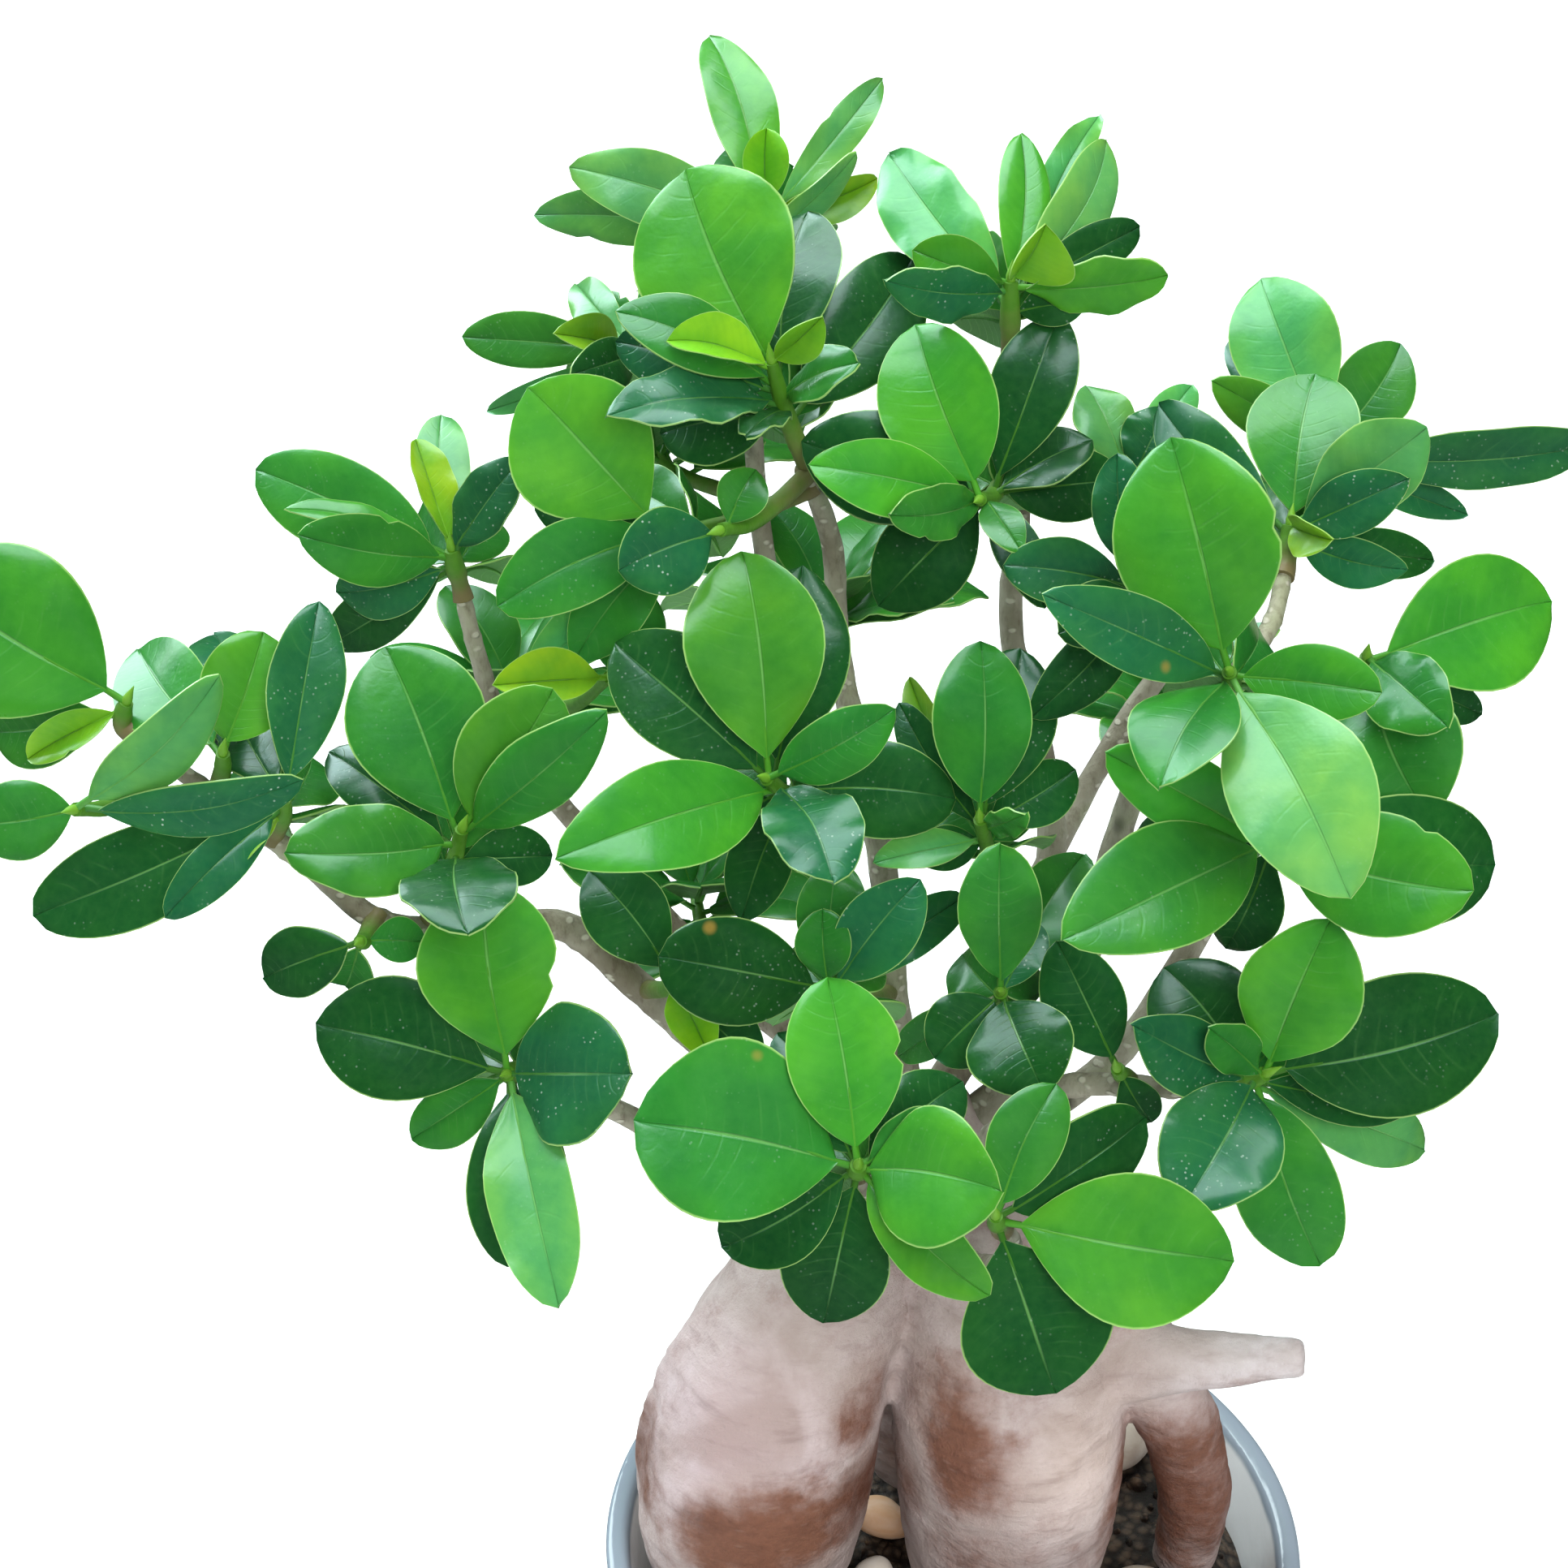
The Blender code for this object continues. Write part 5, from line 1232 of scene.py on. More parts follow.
def build_pot(settings):
    """The pot, with a rounded lip, a foot ring and its drain holes."""
    inner_lip = POT_HEIGHT - INNER_LIP_HEIGHT
    corner = POT_FLOOR + FLOOR_CORNER
    profile = rounded([
        *((share * POT_BASE_RADIUS, height)
          for share, height in zip(FOOT_RING, (FOOT_RECESS, FOOT_RECESS, 0.0))),
        (POT_BASE_RADIUS - FOOT_EDGE, 0.0),
        (POT_BASE_RADIUS + POT_SLOPE * FOOT_BEND, FOOT_BEND),
        (POT_RIM_RADIUS - POT_SLOPE * LIP_HEIGHT, POT_HEIGHT - LIP_HEIGHT),
        (POT_RIM_RADIUS, POT_HEIGHT),
        (pot_inner_radius(POT_HEIGHT), POT_HEIGHT),
        (pot_inner_radius(inner_lip) - INNER_LIP_STEP, inner_lip),
        (pot_inner_radius(corner), corner),
        (pot_inner_radius(POT_FLOOR) - FLOOR_CORNER, POT_FLOOR),
        (0.5 * POT_BASE_RADIUS + FLOOR_MIDDLE, POT_FLOOR),
    ], settings.lip_rounding / MM, CORNER_STEPS)
    shape = Shape()
    shape.add(*turned_shape(profile, settings.sides))
    pot = shape.make("glazed_pot", [glaze_finish(settings)])
    holes = Shape()
    for k in range(DRAIN_HOLES):
        angle = math.tau * (k + 0.5) / DRAIN_HOLES
        middle = DRAIN_HOLE_CIRCLE * Vector((math.cos(angle), math.sin(angle), 0.0))
        path = [middle - POT_FLOOR * STRAIGHT_UP, middle + 2 * POT_FLOOR * STRAIGHT_UP]
        holes.add(*tube(path, [DRAIN_HOLE_RADIUS] * 2, DRAIN_HOLE_SIDES))
    cutter = holes.make("drain_hole_cutter", [])
    shaped_by(pot, "BOOLEAN", operation="DIFFERENCE", object=cutter, solver="EXACT")
    bpy.data.objects.remove(cutter)
    fixed(pot, "glaze", "pot")


def crumb(chance, size):
    """A small angular lump about the origin."""
    ball = bmesh.new()
    bmesh.ops.create_icosphere(ball, subdivisions=2, radius=1.0)
    stretch = Vector([size * chance.uniform(*CRUMB_STRETCH) for _ in range(3)])
    seed = chance.uniform(0.0, 50.0)
    verts = []
    for vert in ball.verts:
        wide = Vector(a * b for a, b in zip(vert.co, stretch))
        verts.append(wide * (1.0 + 0.45 * uneven(vert.co, 0.9, seed)))
    faces = [[vert.index for vert in face.verts] for face in ball.faces]
    ball.free()
    return verts, faces


def soil_height(x, y, settings):
    """How high the soil's lumps and grains are, lower near the pot's wall."""
    share = math.hypot(x, y) / pot_inner_radius(SOIL_TOP)
    outward = max(0.0, share - SINK_START) / SINK_WIDTH
    sunken = settings.sunken_edge / MM * outward * outward * (3.0 - 2.0 * min(1.0, outward))
    lumps = 0.6 * uneven((x, y, 0.0), 21.0, 3.0) + 0.4 * uneven((x, y, 0.0), 6.0, 8.0)
    grains = uneven((x, y, 0.0), 1.9, 5.0)
    return SOIL_TOP + settings.unevenness / MM * lumps + 0.28 * grains - 0.4 - sunken


def build_soil(settings):
    """Soil with lumps and loose crumbs, filling the pot up to below its rim."""
    chance = random.Random("soil")
    outer = pot_inner_radius(SOIL_TOP) - SOIL_AIR
    side = [(pot_inner_radius(POT_FLOOR + GAP) - GAP - 1.0, POT_FLOOR + GAP)]
    side += [(pot_inner_radius(height) - SOIL_AIR, height) for height in SOIL_SIDE_HEIGHTS]
    verts = [point for radius, height in side for point in circle(radius, height, SOIL_SIDES)]
    for ring in range(SOIL_RINGS):
        for x, y, _ in circle(outer * (1.0 - ring / SOIL_RINGS), 0.0, SOIL_SIDES):
            verts.append((x, y, soil_height(x, y, settings)))
    shape = Shape()
    shape.add(verts, ring_faces(len(side) + SOIL_RINGS, SOIL_SIDES))
    for _ in range(settings.crumbs):
        radius = (outer - 3.0) * math.sqrt(chance.random())
        angle = chance.uniform(0.0, math.tau)
        size = settings.crumb_size / MM * chance.uniform(0.3, 1.0) ** 2
        x, y = radius * math.cos(angle), radius * math.sin(angle)
        place = Vector((x, y, soil_height(x, y, settings) + CRUMB_RISE * size))
        shade = chance.uniform(*CRUMB_SHADE)
        crumb_verts, crumb_faces = crumb(chance, size)
        shape.add([place + vert for vert in crumb_verts], crumb_faces,
                  tint=(*(shade * part for part in CRUMB_WARMTH), 0.0))
    fixed(shape.make("potting_soil", [soil_finish(settings)]), "soil", "soil")


def build_pebbles(settings):
    """Each pebble keeps the solid model's place, with finer and more uneven faces."""
    for name, (body, bands) in PEBBLE_COLOURS.items():
        node = f"pebble_{name}"
        source = bpy.data.objects[node]
        mesh = source.data.copy()
        mesh.transform(source.matrix_world)
        mesh.materials.clear()
        welded = bmesh.new()
        welded.from_mesh(mesh)
        bmesh.ops.remove_doubles(welded, verts=welded.verts, dist=0.001 * MM)
        welded.to_mesh(mesh)
        welded.free()
        stone = bpy.data.objects.new(f"stone_{name}", mesh)
        bpy.context.scene.collection.objects.link(stone)
        bpy.context.view_layer.update()
        shaped_by(stone, "SUBSURF", levels=2, render_levels=2)
        places, normals = points_of(stone.data)
        seed = 7.0 * len(name)
        for index, place in enumerate(places):
            lump = settings.unevenness / MM * uneven(place, PEBBLE_DENTS, seed)
            grain = PEBBLE_GRAIN[0] * uneven(place, PEBBLE_GRAIN[1], seed)
            places[index] = place + (PEBBLE_SWELL + (lump + grain)) * normals[index]
        set_points(stone.data, places)
        stone.data.shade_smooth()
        stone.data.materials.clear()
        stone.data.materials.append(stone_finish(f"{name}_pebble", body, bands))
        fixed(stone, "white_stone" if name in WHITE_PEBBLES else "tan_stone", node)


def near_share(places, centre, radius):
    """1 at a centre and 0 beyond a radius from it, for each place."""
    away = np.linalg.norm(places - np.array(centre, np.float32), axis=1) / radius
    return np.clip(1.0 - away, 0.0, 1.0) ** 0.7


def build_roots(settings):
    """The swollen roots, grown into one trunk, with wrinkles, patches and a pale cut stub."""
    roots = root_paths()
    shape = Shape()
    for name, (path, radii) in roots.items():
        fine, fine_radii = smooth_path(path, radii, FINE_ROOT_STEPS)
        if name == "cut_stub":
            fine_radii = [max(radius, settings.stub_radius / MM) for radius in fine_radii]
        else:
            fine_radii[0] *= ROOT_FOOT_SHARE
        shape.add(*tube(fine, fine_radii, FINE_ROOT_SIDES))
    trunk = shape.make("ginseng_roots", [root_finish(settings)])
    shaped_by(trunk, "REMESH", mode="VOXEL", voxel_size=settings.fineness)
    shaped_by(trunk, "SMOOTH", factor=0.6, iterations=settings.softness)
    places, normals = points_of(trunk.data)
    ripple = settings.wrinkle_depth / MM
    for index, place in enumerate(places):
        x, y, z = place
        ring = uneven((0.25 * x, 0.25 * y, z + 2.0 * uneven(place, 15.0, 2.0)), 3.2, 4.0)
        lump = 1.1 * uneven(place, 17.0, 1.0) + 0.4 * uneven(place, 6.0, 6.0)
        rough = max(0.0, uneven(place, 9.0, 9.0)) * uneven(place, 1.8, 3.0)
        out = ROOT_SWELL + lump + ripple * (ring + 1.3 * rough)
        places[index] = place + out * normals[index]
    set_points(trunk.data, places)
    colours = np.ones((len(places), 4), np.float32)
    colours[:, 3] = settings.rustiness
    # Patches of rust and tint, with painted shade in the crease between the bulbs and on the left
    # bulb's far side.
    for centre, radius, rust, tint in ROOT_PATCHES:
        share = near_share(places, centre, radius)[:, None]
        goal = np.array([*tint, rust], np.float32)
        colours += share * (goal - colours)
    attributes = trunk.data.attributes
    if "tint" in attributes:
        attributes.remove(attributes["tint"])
    tints = attributes.new("tint", "FLOAT_COLOR", "POINT")
    tints.data.foreach_set("color", colours.ravel())
    trunk.data.shade_smooth()
    fixed(trunk, "root_skin", "trunk_and_roots")


def knobbly_tube(path, radii, sides, lumps, scars, seed):
    """A closed tube with noise on its sides and raised scars round it."""
    verts = []
    run = 0.0
    before = path[0]
    for centre, radius, spokes in zip(path, radii, spokes_along(path, sides)):
        run += (centre - before).length
        before = centre
        ring = sum(height * math.exp(-((run - place) / SCAR_REACH) ** 2)
                   for place, height in scars)
        for out in spokes:
            place = centre + radius * out
            lump = lumps * (uneven(place, 5.0, seed) + 0.45 * uneven(place, 1.7, seed + 5.0))
            verts.append(centre + radius * (1.0 + lump) * out + ring * out)
    return verts, ring_faces(len(path), sides)


def with_domed_end(path, radii):
    """The path and radii with a short rounded end after their last point."""
    ahead = (path[-1] - path[-2]).normalized()
    reach = radii[-1]
    for turn in DOME_TURNS:
        angle = math.radians(turn)
        path = [*path, path[-1] + 0.25 * reach * math.sin(angle) * ahead]
        radii = [*radii, reach * math.cos(angle) + 0.02]
    return path, radii


def build_branches(settings):
    """Grafted branches with a swollen foot, leaf scars and a rounded end."""
    bark = bark_finish(settings)
    for name, (path, radii, _) in branch_paths(root_paths()).items():
        chance = random.Random(name)
        away = (path[1] - path[0]).normalized()
        path = [path[0] - BRANCH_SINK * away, path[0] + away, *path[2:]]
        radii = [*(flare * radii[0] for flare in BRANCH_FLARE), *radii[2:]]
        fine, fine_radii = smooth_path(path, radii, settings.steps)
        length = sum((b - a).length for a, b in zip(fine[:-1], fine[1:]))
        scars = []
        place = chance.uniform(*FIRST_SCAR)
        while place < length - SCARLESS_END:
            scars.append((place, settings.scar_height / MM * chance.uniform(0.5, 1.2)))
            place += chance.uniform(*SCAR_SPACING)
        fine, fine_radii = with_domed_end(fine, fine_radii)
        shape = Shape()
        shape.add(*knobbly_tube(fine, fine_radii, settings.sides, settings.lumps, scars,
                                chance.uniform(*SEEDS)))
        fixed(shape.make(f"bark_{name}", [bark]), "bark", f"branch_{name}")


# ---------------------------------------------------------------- leaves


class Blade:
    """The fine shape of one leaf: a thin folded sheet with its own small faults."""

    def __init__(self, leaf, chance, settings):
        self.leaf = leaf
        self.along, self.side, self.face, self.length = leaf.frame()
        self.skew = OUTLINE_SKEW + chance.uniform(*SKEW_CHANGE)
        self.fullness = OUTLINE_FULLNESS + chance.uniform(*FULLNESS_CHANGE)
        self.lean = chance.uniform(*LEAN)
        self.sweep = chance.uniform(*SWEEP)
        self.twist = chance.uniform(*TWIST)
        self.curl = chance.uniform(*CURL)
        self.fold = FOLD[leaf.age] * chance.uniform(*FOLD_CHANGE)
        if leaf.age == "y":
            self.fold *= settings.young_roll
        self.waves = chance.choice(WAVE_COUNTS)
        self.phase = chance.uniform(0.0, math.tau)
        self.wave = settings.waviness / MM * WAVINESS[leaf.age] * chance.uniform(*WAVE_CHANGE)
        self.crown = chance.uniform(*CROWN)
        self.notch = None
        if chance.random() < settings.notched_share:
            self.notch = (chance.uniform(*NOTCH_PLACE), chance.choice((-1, 1)),
                          chance.uniform(*NOTCH_DEPTH))

    def outline(self, share):
        """Half width at a share of the blade's length: a wedge at the base, blunt at the tip."""
        if not 0.0 < share < 1.0:
            return 0.0
        power = self.fullness + 0.12 * (1.0 - share) ** 3
        return 0.5 * self.leaf.width * math.sin(math.pi * share**self.skew) ** power

    def spine(self, share):
        """The midrib's place at a share of the blade's length."""
        whole = PETIOLE_SHARE + (1.0 - PETIOLE_SHARE) * share
        bow = 4.0 * BOW[self.leaf.age] * self.length * whole * (1.0 - whole)
        droop = self.curl * self.length * max(0.0, share - 0.5) ** 2
        aside = self.sweep * self.length * math.sin(math.pi * max(share, 0.0))
        return (self.leaf.base + whole * self.length * self.along + (bow - droop) * self.face
                + aside * self.side)

    def point(self, share, across):
        """A place on the middle of the sheet, across being -1 at one margin and 1 at the other."""
        half = max(self.outline(share), 0.3 - 0.2 * share)
        if self.notch and across * self.notch[1] > 0:
            dent = math.exp(-((share - self.notch[0]) / NOTCH_REACH) ** 2)
            half *= 1.0 - self.notch[2] * dent * across * across
        sideways = half * (across + self.lean * (1.0 - across * across))
        rise = self.fold * half * abs(across) ** 1.15
        rise -= self.crown * half * across**4
        groove = GROOVE_DEPTH * math.exp(-(across / GROOVE_WIDTH) ** 2)
        phase = self.waves * math.tau * share + self.phase + (WAVE_LAG if across > 0 else 0.0)
        wave = self.wave * across * across * math.sin(phase)
        turn = self.twist * share
        height = rise + wave - groove - 0.1
        out = sideways * math.cos(turn) - height * math.sin(turn)
        off = sideways * math.sin(turn) + height * math.cos(turn)
        return self.spine(share) + out * self.side + off * self.face

    def sheet(self, rows):
        """Points, top faces, under faces and rim faces of the thin closed sheet."""
        shares = []
        for row in range(rows + 1):
            even = row / rows
            shares.append(0.55 * even + 0.225 * (1.0 - math.cos(math.pi * even)))
        columns = len(ACROSS)
        top = []
        places = []
        for share in shares:
            for across in ACROSS:
                top.append(self.point(share, across))
                places.append((0.5 + 0.5 * across, share))
        thin = 0.5 * SHEET_THICKNESS * self.face
        verts = [place + thin for place in top] + [place - thin for place in top]
        count = len(top)
        upper = []
        for row in range(rows):
            for column in range(columns - 1):
                a = row * columns + column
                upper.append([a, a + 1, a + columns + 1, a + columns])
        lower = [[count + index for index in reversed(face)] for face in upper]
        edge = [*range(columns)]
        edge += [row * columns + columns - 1 for row in range(1, rows + 1)]
        edge += [rows * columns + column for column in range(columns - 2, -1, -1)]
        edge += [row * columns for row in range(rows - 1, 0, -1)]
        rim = [[b, a, count + a, count + b] for a, b in zip(edge, [*edge[1:], edge[0]])]
        return verts, upper, lower, rim, places + places


def leaf_tint(leaf, chance, settings):
    """A leaf's colour and how dusty it is, by its age."""
    bright = chance.uniform(*BRIGHTNESS)
    yellow = chance.uniform(*YELLOWNESS)
    red, green, blue = getattr(settings, LEAF_COLOURS[leaf.age])
    return (min(1.0, bright * yellow * red), min(1.0, bright * green), bright * blue,
            DUST[leaf.age] * chance.uniform(*DUST_CHANGE))


def add_leaf(shape, leaf, chance, settings):
    """A leaf's sheet, and its stalk, which runs on under it as the midrib."""
    blade = Blade(leaf, chance, settings)
    tint = leaf_tint(leaf, chance, settings)
    verts, upper, lower, rim, places = blade.sheet(settings.rows)
    start = len(shape.verts)
    shape.add(verts, upper, TOP_SLOT, places, tint)
    for faces, slot in ((lower, UNDER_SLOT), (rim, TOP_SLOT)):
        shape.faces += [[start + index for index in face] for face in faces]
        shape.slots += [slot] * len(faces)
    stalk = [STALK_GREEN * own + (1.0 - STALK_GREEN) * pale
             for own, pale in zip(tint, settings.stalk_colour)]
    path = [leaf.base, leaf.base + 0.5 * PETIOLE_SHARE * blade.length * blade.along]
    radii = [settings.stalk_radius / MM] * 2
    for share, thin in STALK_TAPER:
        radius = thin * radii[0]
        path.append(blade.spine(share) - (0.45 * SHEET_THICKNESS + 0.5 * radius) * blade.face)
        radii.append(radius)
    verts, faces = tube(path, radii, STALK_SIDES)
    shape.add(verts, faces, STEM_SLOT, [(0.5, 1.0)] * len(verts), (*stalk, 0.0))


def add_stem(shape, path, radii, bases, chance, settings):
    """The green stem, from inside its branch to a pointed bud, a little thicker at its leaves."""
    away = (path[1] - path[0]).normalized()
    course = [path[0] - STEM_SINK * away, path[0] + 0.8 * away, *path[2:4]]
    wide = [flare * radius for flare, radius in zip(STEM_FLARE, radii)]
    fine, fine_radii = smooth_path(course, [*wide, *radii[2:4]], FINE_STEM_STEPS)
    for base in bases:
        for index, place in enumerate(fine):
            away_share = (place - base).length / NODE_REACH
            fine_radii[index] += NODE_SWELL * math.exp(-away_share ** 2)
    rings = len(fine)
    verts, faces = knobbly_tube(fine, fine_radii, FINE_STEM_SIDES, 0.05, [],
                                chance.uniform(*SEEDS))
    places = [(0.5, ring / (rings - 1)) for ring in range(rings) for _ in range(FINE_STEM_SIDES)]
    shape.add(verts, faces, STEM_SLOT, places, (*settings.stem_colour, 0.0))
    ahead = (path[-1] - path[-2]).normalized()
    bend = ahead.orthogonal().normalized()
    bud = [path[-2] + reach * ahead + BUD_BEND * reach * reach * bend for reach, _ in BUD_RINGS]
    verts, faces = tube(bud, [radius for _, radius in BUD_RINGS], BUD_SIDES)
    shape.add(verts, faces, STEM_SLOT, [(0.5, 1.0)] * len(verts), (*settings.bud_colour, 0.0))


def build_shoots(settings):
    """Every leafy shoot: its stem, its bud and its leaves, grown where there is room."""
    roots = root_paths()
    finishes = [leaf_top_finish(settings), leaf_under_finish(settings), stem_finish(settings)]
    for name, (path, radii, leaves) in grown_shoots(roots, branch_paths(roots)).items():
        shape = Shape()
        chance = random.Random(name)
        add_stem(shape, path, radii, [leaf.base for leaf in leaves], chance, settings)
        for leaf in leaves:
            add_leaf(shape, leaf, chance, settings)
        fixed(shape.make(f"leaves_{name}", finishes), "leaves", f"shoot_{name}")


# ---------------------------------------------------------------- stage


def area_light(name, place, aim, size, power, tone, mirrored):
    """A soft rectangular light that shines towards a place."""
    light = bpy.data.lights.new(name, "AREA")
    light.shape = "RECTANGLE"
    light.size, light.size_y = size
    light.energy = power
    light.color = tone
    obj = bpy.data.objects.new(name, light)
    obj.location = place
    obj.visible_glossy = mirrored
    obj.rotation_euler = (Vector(aim) - Vector(place)).to_track_quat("-Z", "Y").to_euler()
    bpy.context.scene.collection.objects.link(obj)


def build_stage(settings):
    """A pale floor, soft lights and a camera looking down on the crown."""
    scene = bpy.context.scene
    shape = Shape()
    rim = circle(settings.floor_radius / MM, 0.0, FLOOR_SIDES)
    shape.add(rim, [list(range(FLOOR_SIDES))])
    paper = Finish("pale_paper")
    grain = paper.noise(0.02, 3.0)
    paper.set(Base_Color=paper.mix(grain, settings.floor_colour[:], (0.93, 0.93, 0.925)),
              Roughness=0.85)
    floor = shape.make("floor", [paper.material])
    floor.visible_glossy = False
    aim = (MM * SHEET_CENTRE.x, MM * SHEET_CENTRE.y, LIGHT_AIM_HEIGHT)
    for name, (place, size, part, tone, mirrored) in LIGHTS.items():
        area_light(name, place, aim, size, part * settings.light_power, tone, mirrored)
    world = bpy.data.worlds.new("soft_room")
    world.use_nodes = True
    background = world.node_tree.nodes["Background"]
    background.inputs["Color"].default_value = (0.92, 0.98, 1.0, 1.0)
    background.inputs["Strength"].default_value = settings.room_light
    world.cycles_visibility.glossy = False
    scene.world = world
    scene.view_settings.view_transform = "Standard"
    camera = bpy.data.cameras.new("portrait")
    camera.lens = CAMERA_LENS
    camera.sensor_width = CAMERA_SENSOR
    camera.clip_start, camera.clip_end = CAMERA_RANGE
    eye = bpy.data.objects.new("portrait", camera)
    turn = Matrix((RIGHT, UPWARD, -INWARD)).transposed().to_4x4()
    eye.matrix_world = Matrix.Translation(MM * FOCUS) @ turn
    scene.collection.objects.link(eye)
    scene.camera = eye


# ---------------------------------------------------------------- settings


# Each makes one property: its name, its default, what it is for, and its least and most.


def colour(name, value, about):
    return FloatVectorProperty(name=name, description=about, subtype="COLOR", size=3,
                               default=value, min=0.0, max=1.0)


def length(name, value, about, low, high):
    return FloatProperty(name=name, description=about, subtype="DISTANCE", unit="LENGTH",
                         default=value, min=low, max=high, precision=4)


def share(name, value, about, low=0.0, high=1.0):
    return FloatProperty(name=name, description=about, default=value, min=low, max=high)


def whole(name, value, about, low, high):
    return IntProperty(name=name, description=about, default=value, min=low, max=high)


class PotSettings(bpy.types.PropertyGroup):
    """What can be changed about the pot."""

    glaze_colour: colour("Glaze", (0.74, 0.74, 0.75), "Glaze on thick places")
    glaze_shade_colour: colour("Glaze shade", (0.67, 0.67, 0.69), "Glaze on thin places")
    rim_colour: colour("Rim line", (0.20, 0.25, 0.31), "Worn line along the lip")
    # The rim line is a blue-grey band along the top of the lip.
    clay_colour: colour("Clay", (0.55, 0.45, 0.36), "Bare clay under the foot")
    rim_line_width: length("Rim line width", 0.0028, "Height of the worn line", 0.0005, 0.01)
    lip_rounding: length("Lip rounding", 0.0022, "Reach of the rounding at corners", 0.0005, 0.004)
    sides: whole("Sides", 160, "Faces round the pot", 24, 512)


class SoilSettings(bpy.types.PropertyGroup):
    """What can be changed about the soil."""

    soil_colour: colour("Soil", (0.030, 0.020, 0.014), "Moist soil in the hollows")
    soil_light_colour: colour("Dry soil", (0.115, 0.078, 0.052), "Dry soil on the high places")
    unevenness: length("Unevenness", 0.0016, "Height of the lumps", 0.0, 0.004)
    sunken_edge: length("Sunken edge", 0.007, "How much lower the soil lies at the pot", 0.0, 0.01)
    crumbs: whole("Crumbs", 420, "Number of loose crumbs", 0, 1500)
    crumb_size: length("Crumb size", 0.0024, "Half width of the largest crumbs", 0.0005, 0.004)


class PebbleSettings(bpy.types.PropertyGroup):
    """What can be changed about the pebbles."""

    unevenness: length("Unevenness", 0.0005, "Height of the dents and humps", 0.0, 0.002)


class RootSettings(bpy.types.PropertyGroup):
    """What can be changed about the roots and trunk."""

    skin_colour: colour("Skin", (0.60, 0.51, 0.51), "Pale smooth skin")
    skin_shade_colour: colour("Skin shade", (0.40, 0.31, 0.285), "Darker areas of the skin")
    rust_colour: colour("Rust", (0.26, 0.115, 0.070), "Rough brown patches")
    rust_dark_colour: colour("Dark rust", (0.13, 0.058, 0.040), "Cracks in the rough patches")
    rustiness: share("Rustiness", 0.33, "How brown the skin is away from its patches")
    stub_radius: length("Stub radius", 0.0042, "Least radius of the cut stub", 0.002, 0.006)
    wrinkle_depth: length("Wrinkle depth", 0.0003, "Depth of the cross wrinkles", 0.0, 0.002)
    fineness: length("Fineness", 0.0012, "Size of the faces", 0.0008, 0.005)
    softness: whole("Softness", 9, "How softly the roots grow together", 0, 40)


class BranchSettings(bpy.types.PropertyGroup):
    """What can be changed about the branches."""

    bark_colour: colour("Bark", (0.33, 0.31, 0.24), "Light bark")
    bark_dark_colour: colour("Dark bark", (0.17, 0.145, 0.10), "Weathered bark")
    pore_colour: colour("Pores", (0.52, 0.49, 0.40), "Small corky pores")
    lumps: share("Lumps", 0.07, "Unevenness as a share of the radius", 0.0, 0.3)
    scar_height: length("Scar height", 0.00032, "Height of the leaf scars", 0.0, 0.001)
    sides: whole("Sides", 24, "Faces round a branch", 8, 64)
    steps: whole("Steps", 10, "Rings along each stretch", 2, 40)


class LeafSettings(bpy.types.PropertyGroup):
    """What can be changed about the leaves and their stems."""

    young_colour: colour("Young leaf", (0.17, 0.44, 0.012), "Newest leaves at the buds")
    light_colour: colour("Light leaf", (0.046, 0.275, 0.018), "Large light leaves")
    middle_colour: colour("Middle leaf", (0.022, 0.190, 0.020), "Full-grown leaves")
    dark_colour: colour("Dark leaf", (0.003, 0.062, 0.012), "Old dark leaves")
    tough_colour: colour("Tough leaf", (0.010, 0.115, 0.042), "Dusty blue-green leaves")
    pale_colour: colour("Pale leaf", (0.085, 0.34, 0.085), "Thin pale leaves")
    vein_colour: colour("Veins", (0.22, 0.52, 0.14), "Midrib and side veins")
    margin_colour: colour("Margin", (0.42, 0.66, 0.20), "Thin edge of a leaf")
    stalk_colour: colour("Stalk", (0.10, 0.30, 0.02), "Leaf stalks")
    stem_colour: colour("Stem", (0.085, 0.24, 0.018), "Young stems")
    old_stem_colour: colour("Old stem", (0.16, 0.13, 0.055), "Foot of a stem")
    bud_colour: colour("Bud", (0.17, 0.38, 0.03), "Pointed bud at a stem's end")
    vein_pairs: share("Side veins", 11.0, "Pairs of side veins along a leaf", 2.0, 20.0)
    vein_strength: share("Vein strength", 0.07, "How clearly the side veins show")
    roughness: share("Roughness", 0.30, "Roughness of the upper side")
    glow: share("Glow", 0.14, "Share of the light that passes through a leaf")
    underside_paleness: share("Paler underside", 0.45, "How much paler the underside is")
    waviness: length("Waviness", 0.0006, "Height of the waves along a margin", 0.0, 0.003)
    young_roll: share("Rolled young leaves", 1.7, "How much more a young leaf is folded", 1.0, 2.5)
    notched_share: share("Notched leaves", 0.10, "Share of the leaves with a dent in their margin")
    stalk_radius: length("Stalk radius", 0.0007, "Radius of a leaf stalk", 0.0003, 0.002)
    rows: whole("Rows", 18, "Rows of faces along a leaf", 6, 40)


class StageSettings(bpy.types.PropertyGroup):
    """What can be changed about the floor and the lights."""

    floor_colour: colour("Floor", (0.90, 0.90, 0.895), "Plain pale floor")
    floor_radius: length("Floor radius", 5.0, "Radius of the floor", 1.0, 20.0)
    light_power: share("Light power", 62.0, "Power of the strongest light, in watts", 0.0, 500.0)
    room_light: share("Room light", 0.25, "Strength of the light from all round", 0.0, 5.0)


SETTINGS = {
    "pot": PotSettings,
    "soil": SoilSettings,
    "pebbles": PebbleSettings,
    "roots": RootSettings,
    "branches": BranchSettings,
    "leaves": LeafSettings,
    "stage": StageSettings,
}


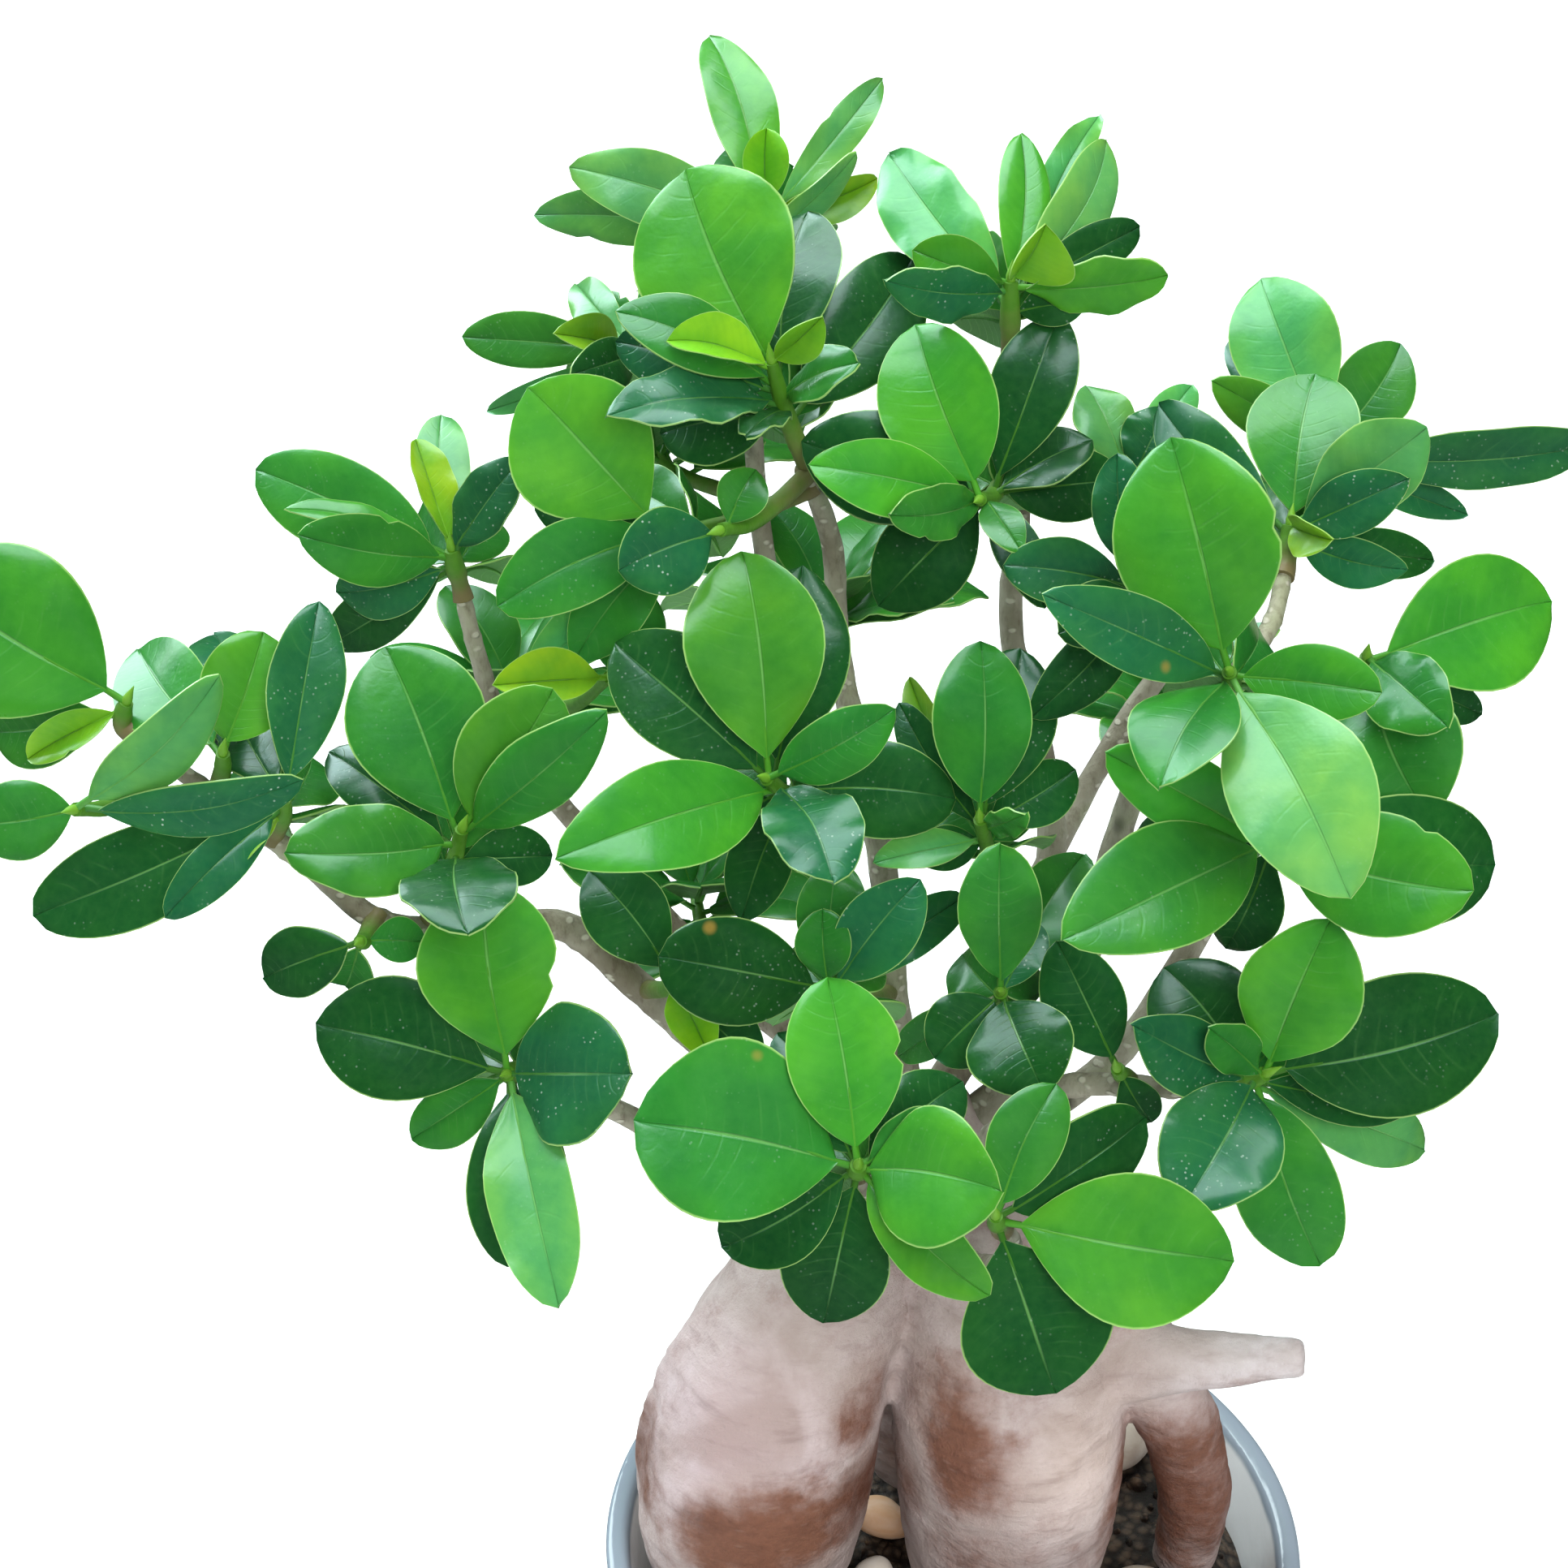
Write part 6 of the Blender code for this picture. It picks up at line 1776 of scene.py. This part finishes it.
class BonsaiSettings(bpy.types.PropertyGroup):
    """The settings of every part of the plant."""

    pot: PointerProperty(type=PotSettings)
    soil: PointerProperty(type=SoilSettings)
    pebbles: PointerProperty(type=PebbleSettings)
    roots: PointerProperty(type=RootSettings)
    branches: PointerProperty(type=BranchSettings)
    leaves: PointerProperty(type=LeafSettings)
    stage: PointerProperty(type=StageSettings)


# ---------------------------------------------------------------- operators and panel


class BONSAI_OT_make_pot(bpy.types.Operator):
    """Build the glazed pot"""

    bl_idname = "bonsai.make_pot"
    bl_label = "Make pot"

    def execute(self, context):
        build_pot(context.scene.bonsai.pot)
        return {"FINISHED"}


class BONSAI_OT_make_soil(bpy.types.Operator):
    """Build the potting soil and its crumbs"""

    bl_idname = "bonsai.make_soil"
    bl_label = "Make soil"

    def execute(self, context):
        build_soil(context.scene.bonsai.soil)
        return {"FINISHED"}


class BONSAI_OT_make_pebbles(bpy.types.Operator):
    """Build the pebbles that lie on the soil"""

    bl_idname = "bonsai.make_pebbles"
    bl_label = "Make pebbles"

    def execute(self, context):
        build_pebbles(context.scene.bonsai.pebbles)
        return {"FINISHED"}


class BONSAI_OT_make_roots(bpy.types.Operator):
    """Build the swollen roots and the trunk they form"""

    bl_idname = "bonsai.make_roots"
    bl_label = "Make roots"

    def execute(self, context):
        build_roots(context.scene.bonsai.roots)
        return {"FINISHED"}


class BONSAI_OT_make_branches(bpy.types.Operator):
    """Build the bark-covered branches"""

    bl_idname = "bonsai.make_branches"
    bl_label = "Make branches"

    def execute(self, context):
        build_branches(context.scene.bonsai.branches)
        return {"FINISHED"}


class BONSAI_OT_make_leaves(bpy.types.Operator):
    """Build every shoot with its stem, bud and leaves"""

    bl_idname = "bonsai.make_leaves"
    bl_label = "Make leaves"

    def execute(self, context):
        build_shoots(context.scene.bonsai.leaves)
        return {"FINISHED"}


class BONSAI_OT_make_stage(bpy.types.Operator):
    """Lay the floor and set up the lights and the camera"""

    bl_idname = "bonsai.make_stage"
    bl_label = "Make stage"

    def execute(self, context):
        build_stage(context.scene.bonsai.stage)
        return {"FINISHED"}


OPERATORS = {
    "pot": BONSAI_OT_make_pot,
    "soil": BONSAI_OT_make_soil,
    "pebbles": BONSAI_OT_make_pebbles,
    "roots": BONSAI_OT_make_roots,
    "branches": BONSAI_OT_make_branches,
    "leaves": BONSAI_OT_make_leaves,
    "stage": BONSAI_OT_make_stage,
}


class BONSAI_PT_build(bpy.types.Panel):
    """Settings and build buttons"""

    bl_idname = "BONSAI_PT_build"
    bl_label = "Ginseng fig bonsai"
    bl_space_type = "VIEW_3D"
    bl_region_type = "UI"
    bl_category = "Bonsai"

    def draw(self, context):
        for part, operator in OPERATORS.items():
            box = self.layout.box()
            box.label(text=part.capitalize())
            settings = getattr(context.scene.bonsai, part)
            for prop in SETTINGS[part].__annotations__:
                box.prop(settings, prop)
            box.operator(operator.bl_idname)


CLASSES = (*SETTINGS.values(), BonsaiSettings, *OPERATORS.values(), BONSAI_PT_build)


def register():
    for cls in CLASSES:
        bpy.utils.register_class(cls)
    bpy.types.Scene.bonsai = PointerProperty(type=BonsaiSettings)


def unregister():
    del bpy.types.Scene.bonsai
    for cls in reversed(CLASSES):
        bpy.utils.unregister_class(cls)


def main():
    register()
    bpy.ops.bonsai.make_pot()
    bpy.ops.bonsai.make_soil()
    bpy.ops.bonsai.make_pebbles()
    bpy.ops.bonsai.make_roots()
    bpy.ops.bonsai.make_branches()
    bpy.ops.bonsai.make_leaves()
    bpy.ops.bonsai.make_stage()


if __name__ == "__main__":
    main()
